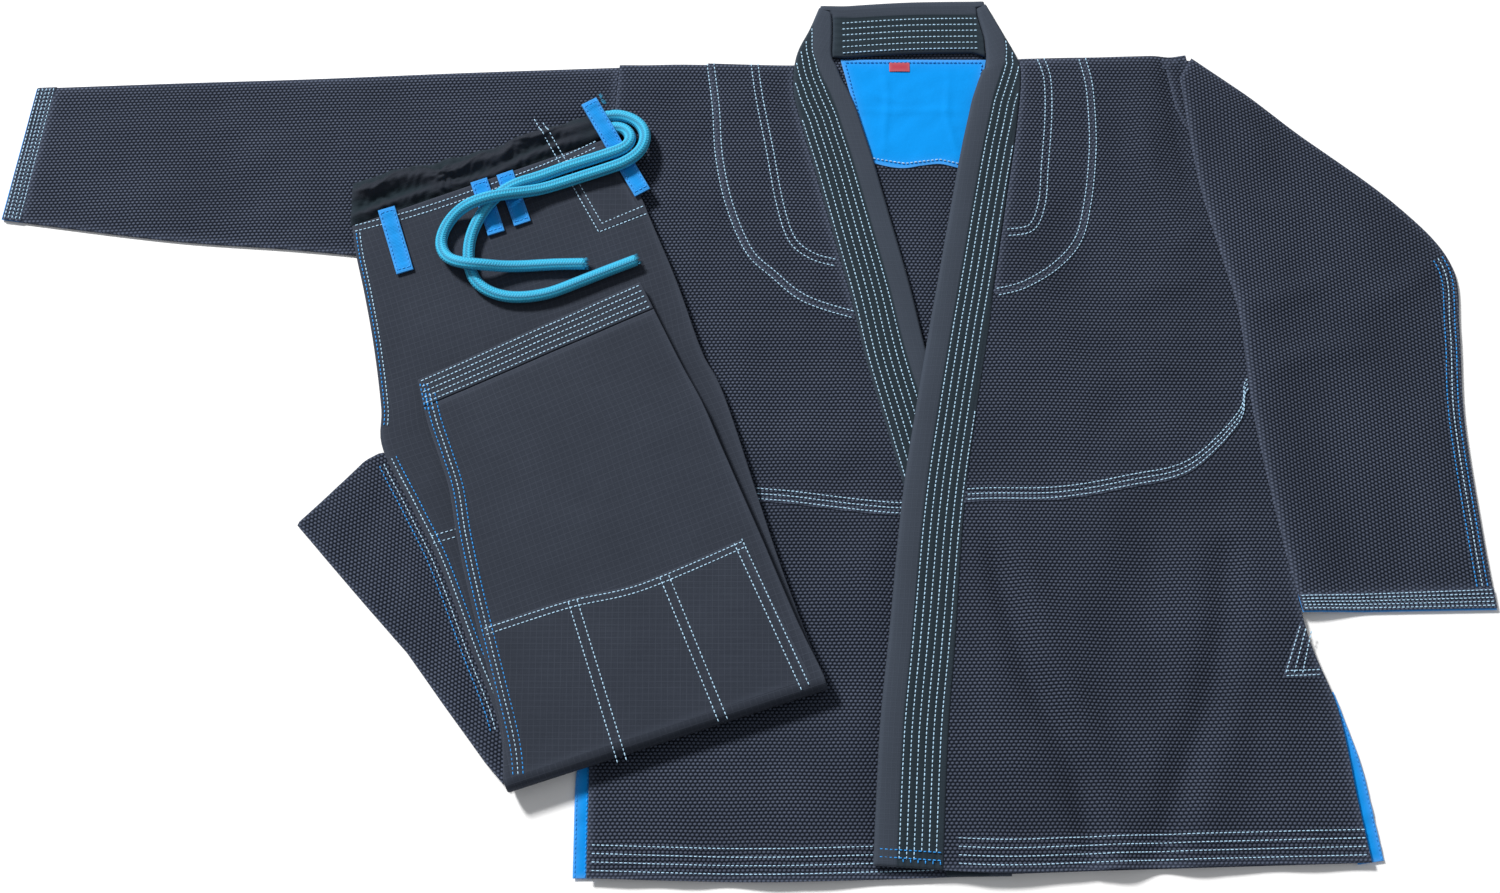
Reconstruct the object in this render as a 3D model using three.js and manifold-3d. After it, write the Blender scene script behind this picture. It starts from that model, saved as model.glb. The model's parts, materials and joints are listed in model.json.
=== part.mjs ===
// A martial arts suit laid flat: a pearl-weave jacket, left front over right, with the drawstring
// trousers folded lengthwise, their lower legs folded up, lying on the jacket's right front.
// Millimetres, +X along the spread sleeves, +Y towards the collar, +Z up from the floor.
// "Left" and "right" in names are the wearer's.

import * as THREE from "three";
import { mergeVertices } from "three/addons/utils/BufferGeometryUtils.js";
import Module from "manifold-3d";

const wasm = await Module();
wasm.setup();

// Overall sizes of the suit as it lies, and the sizes that the outlines below are drafted at.
const SPAN = 1253;
const LENGTH = 766;
const DRAFT_SPAN = 1253;
const DRAFT_LENGTH = 766;

// Cloth and the air between layers.
const CLOTH = 1.6; // pearl-weave jacket cloth
const PLY = 2; // one layer of trouser cloth with its loft
const PATCH = 0.8; // reinforcements, tapes and lining
const AIR = 0.4; // between jacket layers
const PLY_AIR = 0.5; // between trouser layers
const GAP = 0.3; // between pieces that are sewn or lie together

// Collar and lapels: a folded cover round a rubber core, with the front's edge sewn in.
const LAPEL_WIDTH = 52;
const LAPEL_WALL = 1.2;
const LAPEL_CORE = 3;
const LAPEL_SEAM = 11; // depth of the front's edge inside the cover
const LAPEL_FOLD = 1.5; // cover's wall at its folded edge
const COLLAR_HEIGHT = 50;

// Bands, tapes and loops.
const CUFF_DEPTH = 17;
const TROUSER_HEM = 24;
const TAPE_WIDTH = 10;
const VENT_TAPE_WIDTH = 21;
const LOOP_WIDTH = 15;
const LOOP_THICKNESS = 1.2;
const CASING_WALL = 1.4;
const DRAWCORD = 10; // diameter where it is free
const DRAWCORD_FLAT = 4.6; // thickness where the casing presses it flat
const DRAWCORD_FLAT_WIDTH = 16;

// Heights of the layers, from the floor up.
const lapelThickness = LAPEL_CORE + 2 * (LAPEL_WALL + GAP);
const innerZ = CLOTH + GAP; // linings, tapes and seam allowances on the back
const rightLapelZ = CLOTH + AIR;
const leftLapelZ = rightLapelZ + lapelThickness + AIR;
const frontZ = rightLapelZ + (lapelThickness - CLOTH) / 2;
const flapZ = leftLapelZ + (lapelThickness - CLOTH) / 2;
const patchZ = frontZ + CLOTH + GAP;
const flapPatchZ = flapZ + CLOTH + GAP;
const leftSleeveZ = frontZ + CLOTH + AIR;
const trousersZ = patchZ + PATCH + GAP;
const plyZ = (layer) => trousersZ + layer * (PLY + PLY_AIR);
const thighTop = plyZ(3) + PLY;
const shinTop = plyZ(7) + PLY;

// Cutting patterns are graded from the drafted size to the size of the suit.
const gradeX = SPAN / DRAFT_SPAN;
const gradeY = LENGTH / DRAFT_LENGTH;
const draft = ([x, y]) => new THREE.Vector2(x * gradeX, y * gradeY);

// Outlines ---------------------------------------------------------------------------------

const RAIL_STEPS = 20;

// A smooth edge through a few drafted points.
function edge(points, steps = RAIL_STEPS) {
  return new THREE.SplineCurve(points.map(draft)).getPoints(steps);
}

// A stretch of such an edge, from one share of its length to another, straight on past its ends.
function stretch(points, from, to) {
  const curve = new THREE.SplineCurve(points.map(draft));
  const length = curve.getLength();
  return Array.from({ length: RAIL_STEPS + 1 }, (_, i) => {
    const share = from + ((to - from) * i) / RAIL_STEPS;
    const held = THREE.MathUtils.clamp(share, 0, 1);
    const point = curve.getPointAt(held);
    return point.addScaledVector(curve.getTangentAt(held), (share - held) * length);
  });
}

// Straight runs between drafted points.
function corners(points) {
  return points.map(draft);
}

// An outline that runs along one edge and back along the other.
function between(first, second) {
  return [...first, ...[...second].reverse()];
}

// An edge moved by a distance to its left, seen along its run (a negative distance goes right).
function offset(points, distance) {
  return points.map((point, i) => {
    const before = points[Math.max(i - 1, 0)];
    const after = points[Math.min(i + 1, points.length - 1)];
    const run = after.clone().sub(before).normalize();
    return new THREE.Vector2(point.x - run.y * distance, point.y + run.x * distance);
  });
}

// An edge with a little taken off both of its ends, or put on where the share is negative.
function shortened(points, share) {
  const last = points.length - 1;
  return [
    points[0].clone().lerp(points[1], share),
    ...points.slice(1, -1),
    points[last].clone().lerp(points[last - 1], share),
  ];
}

// An outline drawn in a little from both of its edges.
function narrowed(outline, share) {
  return outline.map((point, i) => point.clone().lerp(outline[outline.length - 1 - i], share));
}

// A straight strip of a given width centred on the run between two points.
function strip(from, to, width) {
  const line = [from, to];
  return between(offset(line, width / 2), offset(line, -width / 2));
}

// Solids -----------------------------------------------------------------------------------

function solid(geometry) {
  const bare = geometry.clone();
  bare.deleteAttribute("normal");
  bare.deleteAttribute("uv");
  const merged = mergeVertices(bare);
  const mesh = new wasm.Mesh({
    numProp: 3,
    vertProperties: new Float32Array(merged.attributes.position.array),
    triVerts: new Uint32Array(merged.index.array),
  });
  return new wasm.Manifold(mesh);
}

function geometryOf(manifold) {
  const { vertProperties, triVerts } = manifold.getMesh();
  const geometry = new THREE.BufferGeometry();
  geometry.setAttribute("position", new THREE.BufferAttribute(new Float32Array(vertProperties), 3));
  geometry.setIndex(new THREE.BufferAttribute(new Uint32Array(triVerts), 1));
  const flat = geometry.toNonIndexed();
  flat.computeVertexNormals();
  return flat;
}

// A flat layer with the given outline.
function layer(outline, z, thickness) {
  const shape = new THREE.Shape(outline);
  const geometry = new THREE.ExtrudeGeometry(shape, { depth: thickness, bevelEnabled: false });
  return solid(geometry.translate(0, 0, z));
}

// A layer that fits inside an outline with the gap kept all round.
function insetLayer(outline, z, thickness) {
  const shifts = [[GAP, 0], [-GAP, 0], [0, GAP], [0, -GAP]].map(([x, y]) => new THREE.Vector2(x, y));
  const copies = shifts.map((shift) => layer(outline.map((point) => point.clone().add(shift)), z, thickness));
  return copies.reduce((kept, copy) => kept.intersect(copy));
}

// A folded band: two layers in one, open along its run so that it can hold something.
function sleeveOf(outline, slot, z, thickness, wall) {
  return layer(outline, z, thickness).subtract(layer(slot, z + wall, thickness - 2 * wall));
}

// The part of a piece inside a region, and the part outside it with the gap between them.
function split(piece, region, shift) {
  const grown = region.map((point) => point.clone().add(shift));
  return {
    inside: piece.intersect(layer(region, 0, SPAN)),
    outside: piece.subtract(layer(grown, 0, SPAN)),
  };
}

// Materials and the scene graph ------------------------------------------------------------

const material = (color, roughness) => new THREE.MeshStandardMaterial({ color, roughness, metalness: 0 });
const PEARL = material(0x30353f, 0.9);
const RIPSTOP = material(0x363c48, 0.85);
const CASING = material(0x17191f, 0.85);
const LAPEL = material(0x39424c, 0.85);
const BLUE = material(0x029bf8, 0.8);
const LOOP_BLUE = material(0x0a90e5, 0.8);
const CORD = material(0x1d88b3, 0.7);
const RUBBER = material(0x202224, 0.9);
const RED = material(0xba4656, 0.8);

const suit = new THREE.Group();

function add(name, manifold, finish) {
  const mesh = new THREE.Mesh(geometryOf(manifold), finish);
  mesh.name = name;
  suit.add(mesh);
}

// Jacket body ------------------------------------------------------------------------------

const shoulderNeckRight = [35, 347];
const shoulderNeckLeft = [241, 352];
const rightShoulder = [-115, 347];
const leftShoulder = [385, 357];
const rightArmpit = [-130, 148];
const leftArmpit = [425, 140];

const rightSide = edge([rightArmpit, [-130, 0], [-128, -150], [-128, -351]]);
const leftSide = edge([
  leftArmpit, [430, 30], [440, -60], [449, -150], [470, -217], [480, -291], [487, -339],
]);
const backHem = edge([[-128, -351], [80, -351], [280, -345], [487, -339]]);
const neckline = corners([shoulderNeckLeft, [220, 360], [140, 364], [60, 360], shoulderNeckRight]);

const backOutline = [
  ...rightSide,
  ...backHem.slice(1, -1),
  ...[...leftSide].reverse(),
  ...corners([leftShoulder]),
  ...neckline,
  ...corners([rightShoulder]),
];
add("back_panel", layer(backOutline, 0, CLOTH), PEARL);

// Lapels: the edge sewn to the front, and the share of the full width that lies in view there.
const rightLapelRows = [
  [62, 404, 0.2], [53, 382, 0.42], [41, 356, 0.7], [38, 323, 0.9], [45, 289, 0.98], [57, 243, 1],
  [73, 180, 1], [86, 128, 1], [98, 72, 1], [116, 6, 1], [130, -50, 1], [141, -120, 1],
  [148, -200, 1], [152, -280, 1], [153, -350, 1],
];
const leftLapelRows = [
  [209, 408, 0.18], [223, 380, 0.33], [235, 354, 0.58], [238, 338, 0.66], [235, 305, 0.8],
  [229, 265, 0.86], [222, 225, 0.88], [209, 147, 0.92], [202, 101, 0.96], [188, 22, 0.97],
  [176, -59, 1], [166, -163, 1.04], [158, -240, 1.06], [151, -345, 1.06],
];

// Points at a depth into a lapel from its sewn edge; side is 1 where the lapel lies to the left.
function lapelEdge(rows, side, depth) {
  const curve = new THREE.SplineCurve(rows.map(draft));
  const steps = 36;
  const points = [];
  for (let i = 0; i <= steps; i += 1) {
    const t = i / steps;
    const place = t * (rows.length - 1);
    const row = Math.min(Math.floor(place), rows.length - 2);
    const share = THREE.MathUtils.lerp(rows[row][2], rows[row + 1][2], place - row);
    const run = curve.getTangent(t);
    const reach = side * depth(share * LAPEL_WIDTH);
    points.push(curve.getPoint(t).add(new THREE.Vector2(-run.y, run.x).multiplyScalar(reach)));
  }
  return points;
}

function lapel(rows, side, z) {
  const at = (depth) => lapelEdge(rows, side, depth);
  const sewn = at(() => 0);
  const folded = at((width) => width);
  const past = -0.2;
  const short = 0.5;
  const mouth = between(shortened(at(() => -2), past), shortened(at((width) => width - LAPEL_FOLD), past));
  const coreOutline = between(
    shortened(at((width) => Math.min(LAPEL_SEAM + GAP, width * 0.4)), short),
    shortened(at((width) => width - LAPEL_FOLD - GAP), short),
  );
  return {
    outline: between(sewn, folded),
    keepOut: between(at(() => -GAP), at((width) => width + GAP)),
    seam: at((width) => Math.min(LAPEL_SEAM, width * 0.4 - GAP)),
    cover: sleeveOf(between(sewn, folded), mouth, z, lapelThickness, LAPEL_WALL),
    core: layer(coreOutline, z + LAPEL_WALL + GAP, LAPEL_CORE).intersect(
      insetLayer(mouth, z + LAPEL_WALL + GAP, LAPEL_CORE)),
  };
}

// The right lapel's cloth lies to the left of its run down the front, the left lapel's to the right.
const rightLapel = lapel(rightLapelRows, 1, rightLapelZ);
const leftLapel = lapel(leftLapelRows, -1, leftLapelZ);
add("right_lapel_cover", rightLapel.cover, LAPEL);
add("right_lapel_core", rightLapel.core, RUBBER);

// Collar back: the band across the neck, its lower edge open for the back's neckline.
const collarTop = edge([[79, 404], [140, 408], [204, 409]]);
const collarFoot = collarTop.map((point) => new THREE.Vector2(point.x, point.y - COLLAR_HEIGHT));
const collarEnds = (inset) => (points) => points.map((point, i) => {
  const share = i / (points.length - 1);
  return new THREE.Vector2(point.x + inset * (1 - 2 * share), point.y);
});
const inCover = collarEnds(LAPEL_FOLD);
const inCore = collarEnds(LAPEL_FOLD + LAPEL_WALL);
const collarCover = sleeveOf(
  between(collarFoot, collarTop),
  between(inCover(offset(collarFoot, -2)), inCover(offset(collarTop, -LAPEL_FOLD))),
  rightLapelZ,
  lapelThickness,
  LAPEL_WALL,
);
const besideRightLapel = layer(rightLapel.keepOut, rightLapelZ, lapelThickness);
add("collar_back_cover", collarCover.subtract(besideRightLapel), LAPEL);
const collarCore = layer(
  between(inCore(offset(collarFoot, LAPEL_SEAM)), inCore(offset(collarTop, -LAPEL_FOLD - GAP))),
  rightLapelZ + LAPEL_WALL + GAP,
  LAPEL_CORE,
);
add("collar_back_core", collarCore.subtract(besideRightLapel), RUBBER);

// Blue lining at the neck, hung from the collar's foot, with its size label left blank.
const liningTop = Math.min(...collarFoot.map((point) => point.y)) - GAP;
const LABEL_WIDTH = 18;
const LABEL_DROP = 3; // below the top of the lining
const liningOutline = [
  new THREE.Vector2(80 * gradeX, liningTop),
  ...corners([[104, 256], [135, 250], [165, 254], [190, 248]]),
  new THREE.Vector2(209 * gradeX, liningTop),
];
add("neck_lining", layer(liningOutline, innerZ, PATCH).subtract(besideRightLapel), BLUE);
const labelTop = new THREE.Vector2(132 * gradeX, liningTop - LABEL_DROP);
const labelFoot = labelTop.clone().add(new THREE.Vector2(0, -LABEL_WIDTH / 2));
add("size_label", layer(
  strip(labelTop, labelFoot, LABEL_WIDTH), innerZ + PATCH + GAP, PATCH / 2), RED);

// Seam allowances and tapes between the back and the fronts.
const seamHeight = frontZ - GAP - innerZ;
const rightSideSeam = rightSide.filter((point) => point.y > -150 * gradeY);
const leftSideSeam = leftSide.filter((point) => point.y > -150 * gradeY);
add("right_side_seam_tape", layer(
  between(offset(rightSideSeam, 1), offset(rightSideSeam, 1 + TAPE_WIDTH)), innerZ, seamHeight), PEARL);
add("left_side_seam_tape", layer(
  between(offset(leftSideSeam, -1), offset(leftSideSeam, -1 - TAPE_WIDTH)), innerZ, seamHeight), PEARL);
add("right_shoulder_seam_tape", layer(
  strip(draft([-108, 339]), draft([30, 339]), TAPE_WIDTH), innerZ, seamHeight), PEARL);
add("left_shoulder_seam_tape", layer(
  strip(draft([252, 345]), draft([372, 349]), TAPE_WIDTH), innerZ, seamHeight), PEARL);

// Blue vent tapes, set in along the side slits and showing beyond the front's edge.
const ventLength = (side) => side.filter((point) => point.y < -205 * gradeY);
add("right_vent_tape", layer(
  between(
    offset(ventLength(rightSide), TAPE_WIDTH),
    offset(ventLength(rightSide), TAPE_WIDTH - VENT_TAPE_WIDTH),
  ), innerZ, PATCH), BLUE);
add("left_vent_tape", layer(
  between(
    offset(ventLength(leftSide), -TAPE_WIDTH),
    offset(ventLength(leftSide), VENT_TAPE_WIDTH - TAPE_WIDTH),
  ), innerZ, PATCH), BLUE);

// Fronts, each a chest and a skirt joined by a seam below the ribs.
const chestSeam = edge([
  [-140, -34], [8, -44], [124, -56], [179, -46], [250, -44], [313, -33], [365, -19], [408, 22], [417, 50],
  [445, 62],
]);

// Everything below the chest seam.
const skirtRegion = [...chestSeam, ...corners([[600, -500], [-300, -500]])];
const seamGap = new THREE.Vector2(0, GAP);

const rightFrontOutline = [
  ...rightSide,
  ...edge([[-100, -352], [0, -354], [100, -352]], 6),
  ...[...rightLapel.seam].reverse().filter((point) => point.y < 347 * gradeY),
  ...corners([rightShoulder]),
];
const rightFront = split(layer(rightFrontOutline, frontZ, CLOTH), skirtRegion, seamGap);
add("right_chest", rightFront.outside, PEARL);
add("right_skirt", rightFront.inside, PEARL);

const leftFrontOutline = [
  ...leftLapel.seam.filter((point) => point.y < 352 * gradeY),
  ...edge([[200, -347], [290, -344], [400, -341]], 6),
  ...[...leftSide].reverse(),
  ...corners([leftShoulder]),
  ...corners([shoulderNeckLeft]),
];

// The left front lifts along a fold from the neck to the hem; the flap is all of it on the lapel's side.
const FRONT_FOLD_TOP = draft([241, 356]);
const FRONT_FOLD_FOOT = draft([330, -344]);
const foldRun = FRONT_FOLD_FOOT.clone().sub(FRONT_FOLD_TOP).normalize();
const foldSide = new THREE.Vector2(foldRun.y, -foldRun.x);
const flapRegion = [
  FRONT_FOLD_TOP,
  FRONT_FOLD_TOP.clone().addScaledVector(foldSide, SPAN),
  FRONT_FOLD_TOP.clone().addScaledVector(foldSide, SPAN).addScaledVector(foldRun, SPAN),
  FRONT_FOLD_TOP.clone().addScaledVector(foldRun, SPAN),
];
const foldGap = foldSide.clone().add(foldRun).multiplyScalar(-GAP);

function leftFrontPieces(part, partName, fixedZ, liftedZ, thickness, finish) {
  const lifted = split(part(liftedZ, thickness), flapRegion, foldGap).inside;
  const fixed = split(part(fixedZ, thickness), flapRegion, foldGap).outside;
  add(`${partName}_side`, fixed, finish);
  add(`${partName}_flap`, lifted, finish);
}

const leftFrontPart = (half) => (z, thickness) => split(
  layer(leftFrontOutline, z, thickness), skirtRegion, seamGap)[half];
leftFrontPieces(leftFrontPart("outside"), "left_chest", frontZ, flapZ, CLOTH, PEARL);
leftFrontPieces(leftFrontPart("inside"), "left_skirt", frontZ, flapZ, CLOTH, PEARL);

const leftCover = split(leftLapel.cover, flapRegion, foldGap);
const leftCore = split(leftLapel.core, flapRegion, foldGap);
add("left_lapel_cover", leftCover.inside, LAPEL);
add("left_lapel_core", leftCore.inside, RUBBER);
add("left_collar_cover", leftCover.outside, LAPEL);
add("left_collar_core", leftCore.outside, RUBBER);

// Chest reinforcements from the shoulder round to the lapel.
const rightPatchOutline = [
  ...edge([[-37, 346], [-32, 305], [-29, 259], [-20, 214], [-3, 171], [18, 149], [46, 126], [87, 112]]),
  ...corners([[110, 112], [80, 250], [50, 346]]),
];
add("right_chest_patch", layer(rightPatchOutline, patchZ, PATCH).subtract(
  layer(rightLapel.keepOut, patchZ - 1, PATCH + 2)), PEARL);

const leftPatchOutline = [
  ...corners([[215, 350], [195, 250], [180, 128]]),
  ...edge([
    [205, 129], [234, 137], [262, 155], [283, 180], [293, 214], [299, 254], [301, 285], [300, 326],
    [294, 350],
  ]),
];
const leftLapelSpace = layer(leftLapel.keepOut, leftLapelZ, flapPatchZ - leftLapelZ + 2 * PATCH);
const leftPatchPart = (z, thickness) => layer(leftPatchOutline, z, thickness).subtract(leftLapelSpace);
leftFrontPieces(leftPatchPart, "left_chest_patch", patchZ, flapPatchZ, PATCH, PEARL);

// Triangular patches over the tops of the side slits.
const leftVentPatch = corners([[446, -148], [427, -195], [460, -193]]);
add("left_vent_patch", layer(leftVentPatch, patchZ, PATCH), PEARL);
const rightVentPatch = corners([[-121, -148], [-127, -195], [-98, -195]]);
add("right_vent_patch", layer(rightVentPatch, patchZ, PATCH), PEARL);

// Sleeves --------------------------------------------------------------------------------

// The share of an edge's length at which it crosses a line of constant x or y.
function crossing(points, axis, value) {
  const curve = new THREE.SplineCurve(points.map(draft));
  const rising = curve.getPointAt(1)[axis] > curve.getPointAt(0)[axis];
  let low = 0;
  let high = 1;
  for (let step = 0; step < 30; step += 1) {
    const middle = (low + high) / 2;
    const past = curve.getPointAt(middle)[axis] > value;
    if (past === rising) {
      high = middle;
    } else {
      low = middle;
    }
  }
  return low;
}

// A sleeve lies flat in two layers. The forearm is a body of its own beyond the straight elbow
// fold, and its cuff is a folded band that stands for the hem.
function sleeve(side, top, foot, foldAxis, foldAt, outward, z) {
  const length = new THREE.SplineCurve(top.map(draft)).getLength();
  const gap = GAP / length;
  const cuff = CUFF_DEPTH / length;
  const fold = (points, shift) => crossing(points, foldAxis, foldAt + outward * shift);
  const upper = between(stretch(top, 0, fold(top, -GAP / 2)), stretch(foot, 0, fold(foot, -GAP / 2)));
  const forearm = between(
    stretch(top, fold(top, GAP / 2), 1 - cuff - gap),
    stretch(foot, fold(foot, GAP / 2), 1 - cuff - gap),
  );
  for (const [name, level] of [["under", z], ["top", z + CLOTH + AIR]]) {
    add(`${side}_upper_sleeve_${name}`, layer(upper, level, CLOTH), PEARL);
    add(`${side}_forearm_${name}`, layer(forearm, level, CLOTH), PEARL);
  }
  const band = (from, to) => between(stretch(top, from, to), stretch(foot, from, to));
  const slot = narrowed(band(1 - 2 * cuff, 1 + cuff), 0.02);
  add(`${side}_cuff_band`, sleeveOf(band(1 - cuff, 1), slot, z, 2 * CLOTH + AIR, CLOTH), PEARL);
}

const RIGHT_ELBOW_X = -385 * gradeX;
const LEFT_ELBOW_Y = 100 * gradeY;

sleeve("right",
  [[rightShoulder[0] - GAP, 346], [-250, 341], [-385, 335], [-500, 331], [-627, 326]],
  [[rightArmpit[0] - GAP, 148], [-250, 160], [-385, 174], [-500, 183], [-645, 202]],
  "x", RIGHT_ELBOW_X, -1, 0);

sleeve("left",
  [[389, 352], [480, 281], [560, 214], [601, 160], [602, 100], [598, 22], [603, -78], [608, -137]],
  [[378, 333], [388, 238], [403, 168], [412, 130], [416, 100], [421, 22], [436, -78], [448, -140]],
  "y", LEFT_ELBOW_Y, -1, leftSleeveZ);

// Trousers -------------------------------------------------------------------------------

const THIGH_LEFT = [
  [-340, 191], [-335, 164], [-326, 129], [-316, 84], [-307, 30], [-304, -5], [-276, -58], [-253, -102],
  [-225, -170], [-200, -231], [-190, -286],
];
const THIGH_RIGHT = [
  [-124, 272], [-100, 232], [-80, 185], [-61, 138], [-40, 78], [-20, 36], [24, -101], [62, -205],
];
const CASING_FOOT = [[-343, 193], [-290, 208], [-240, 226], [-180, 250], [-129, 275]];
const CASING_TOP = [[-343, 233], [-300, 247], [-250, 258], [-190, 280], [-140, 297]];

const thighOutline = [
  ...edge(THIGH_LEFT),
  ...[...edge(THIGH_RIGHT)].reverse(),
  ...[...offset(edge(CASING_FOOT, 10), -GAP)].reverse().slice(1, -1),
];
const thighNames = ["right_thigh_front", "right_thigh_back", "left_thigh_back", "left_thigh_front"];
thighNames.forEach((name, i) => {
  add(name, layer(thighOutline, plyZ(i), PLY), RIPSTOP);
});

// Waistband casing, open at its right-hand end, with the flattened drawcord inside.
const casingHeight = thighTop - trousersZ;
const casingFoot = edge(CASING_FOOT, 12);
const casingTop = edge(CASING_TOP, 12);
const acrossCasing = (share) => casingFoot.map((point, i) => point.clone().lerp(casingTop[i], share));
const openRight = (points) => {
  const [beforeLast, last] = points.slice(-2);
  return [...points.slice(1), last.clone().lerp(beforeLast, -1)];
};
const casingSlot = between(openRight(acrossCasing(0.08)), openRight(acrossCasing(0.92)));
add("waistband_casing", sleeveOf(
  between(casingFoot, casingTop), casingSlot, trousersZ, casingHeight, CASING_WALL), CASING);
const casingMiddle = acrossCasing(0.5).slice(2, -1);
add("drawcord_in_casing", layer(
  between(offset(casingMiddle, DRAWCORD_FLAT_WIDTH / 2), offset(casingMiddle, -DRAWCORD_FLAT_WIDTH / 2)),
  trousersZ + CASING_WALL + GAP, DRAWCORD_FLAT), CORD);

// Crotch gusset, jacket cloth set between the legs and folded out to the side.
const gussetSeam = offset(
  edge([[-302, -8], [-276, -58], [-253, -102], [-225, -170], [-200, -231], [-193, -270]]), TAPE_WIDTH);
const gussetEdge = edge([
  [-308, -8], [-320, -14], [-343, -36], [-374, -67], [-323, -124], [-278, -173], [-248, -213], [-211, -261],
  [-195, -279],
]);
const besideThigh = layer(between(offset(edge(THIGH_LEFT), -GAP), edge(THIGH_RIGHT)), trousersZ, thighTop);
const gusset = layer(between(gussetSeam, gussetEdge), plyZ(1), 2 * PLY);
add("crotch_gusset", gusset.subtract(besideThigh), PEARL);

// Hip patch beside the drawcord's mouth.
const hipOutline = corners([[-163, 256], [-128, 186], [-92, 202], [-99, 222], [-127, 265]]);
const hipZ = thighTop + GAP;
add("hip_patch", layer(hipOutline, hipZ, PATCH), RIPSTOP);

// Belt loops, laid over the casing seam; the fourth crosses the hip patch at the mouth.
const loopZ = thighTop + 2 * GAP;
const loops = [
  [[-311, 206], [-292, 148], loopZ],
  [[-233, 232], [-216, 183], loopZ],
  [[-211, 239], [-194, 192], loopZ],
  [[-140, 305], [-92, 220], hipZ + PATCH + GAP],
];
loops.forEach(([from, to, z], i) => {
  add(`belt_loop_${i + 1}`, layer(strip(draft(from), draft(to), LOOP_WIDTH), z, LOOP_THICKNESS), LOOP_BLUE);
});

// Lower legs, folded up on the thighs about the line across the knees.
const SHIN_LEFT = [
  [-188, -284], [-192, -250], [-207, -195], [-224, -135], [-237, -84], [-245, -44], [-255, -15],
  [-266, 15], [-275, 50],
];
const SHIN_RIGHT = [
  [60, -202], [45, -168], [28, -128], [11, -87], [-7, -45], [-25, -3], [-39, 30], [-60, 70], [-92, 136],
];
const hem = TROUSER_HEM / new THREE.SplineCurve(SHIN_LEFT.map(draft)).getLength();
const shinPart = (from, to) => between(stretch(SHIN_LEFT, from, to), stretch(SHIN_RIGHT, from, to));
const shinNames = ["left_shin_front", "left_shin_back", "right_shin_back", "right_shin_front"];
shinNames.forEach((name, i) => {
  add(name, layer(shinPart(0, 1 - hem - hem / TROUSER_HEM * GAP), plyZ(4 + i), PLY), RIPSTOP);
});
const hemSlot = narrowed(shinPart(1 - 2 * hem, 1 + hem), 0.02);
["left_trouser_hem", "right_trouser_hem"].forEach((name, i) => {
  add(name, sleeveOf(shinPart(1 - hem, 1), hemSlot, plyZ(4 + 2 * i), 2 * PLY + PLY_AIR, PLY), RIPSTOP);
});
const kneePatch = corners([[-210, -158], [-146, -136], [-88, -121], [2, -85], [52, -200], [-184, -280]]);
add("right_knee_patch", layer(kneePatch, shinTop + GAP, PATCH), RIPSTOP);

// Drawcord's free ends, out of the casing's mouth and round on the thigh --------------------

const cordA = [
  [-130.8, 280.2, 12], [-121, 284.2, 12], [-111, 283.6, 12.7], [-104.4, 276.5, 16.6], [-102.8, 267.5, 21.4],
  [-107.4, 258.8, 25.5], [-119.5, 254.3, 25], [-133, 249.8, 24], [-147, 245.5, 23.3], [-160, 241, 23.1],
  [-182, 232.5, 22.7], [-200, 226, 24], [-213, 217.5, 24.1], [-223, 207, 24.3], [-231, 194, 23.6],
  [-237, 179, 22.2], [-238.5, 163, 22.2], [-236, 147, 22.2], [-228, 134.5, 22.2], [-213, 126.5, 22.2],
  [-194, 124, 22.2], [-170, 127.5, 22.2], [-147, 136.5, 22.2], [-122, 147, 22.2], [-95, 158, 22.2],
];
const cordB = [
  [-135.8, 290.1, 12], [-125, 294.8, 12], [-111.5, 295.2, 12.4], [-96.5, 287, 15], [-90.2, 272.5, 19.6],
  [-94.5, 256.5, 23.6], [-106.5, 246, 25], [-121, 240.3, 24.6], [-137, 235.3, 23.4], [-157, 228.5, 23.1],
  [-178, 221.5, 23.5], [-196, 216.5, 28], [-210, 212.5, 33], [-223, 209, 34.8], [-238, 204.5, 32],
  [-251, 197.5, 25], [-259.5, 186, 22.3], [-262.5, 172, 22.3], [-257, 159.5, 25.5], [-248, 153.5, 30],
  [-237, 150.5, 33], [-224, 150, 31], [-208, 150.5, 25.5], [-190, 152, 22.3], [-165, 153.5, 22.3],
  [-138, 154, 22.3],
];

function cord(points) {
  const path = new THREE.CatmullRomCurve3(points.map((point) => new THREE.Vector3(...point)));
  const sides = 10;
  const section = new THREE.Shape(Array.from({ length: sides }, (_, i) => {
    const angle = (2 * Math.PI * i) / sides;
    return new THREE.Vector2(Math.cos(angle), Math.sin(angle)).multiplyScalar(DRAWCORD / 2);
  }));
  const steps = 38;
  return solid(new THREE.ExtrudeGeometry(section, { steps, extrudePath: path, bevelEnabled: false }));
}
add("drawcord_end_a", cord(cordA), CORD);
add("drawcord_end_b", cord(cordB), CORD);

// The frame's origin is the middle of the suit's footprint, on the floor.
const footprint = new THREE.Box3().setFromObject(suit);
const middle = footprint.getCenter(new THREE.Vector3());
suit.position.set(-middle.x, -middle.y, -footprint.min.z);

export default suit;
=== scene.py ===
import json
import math

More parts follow.
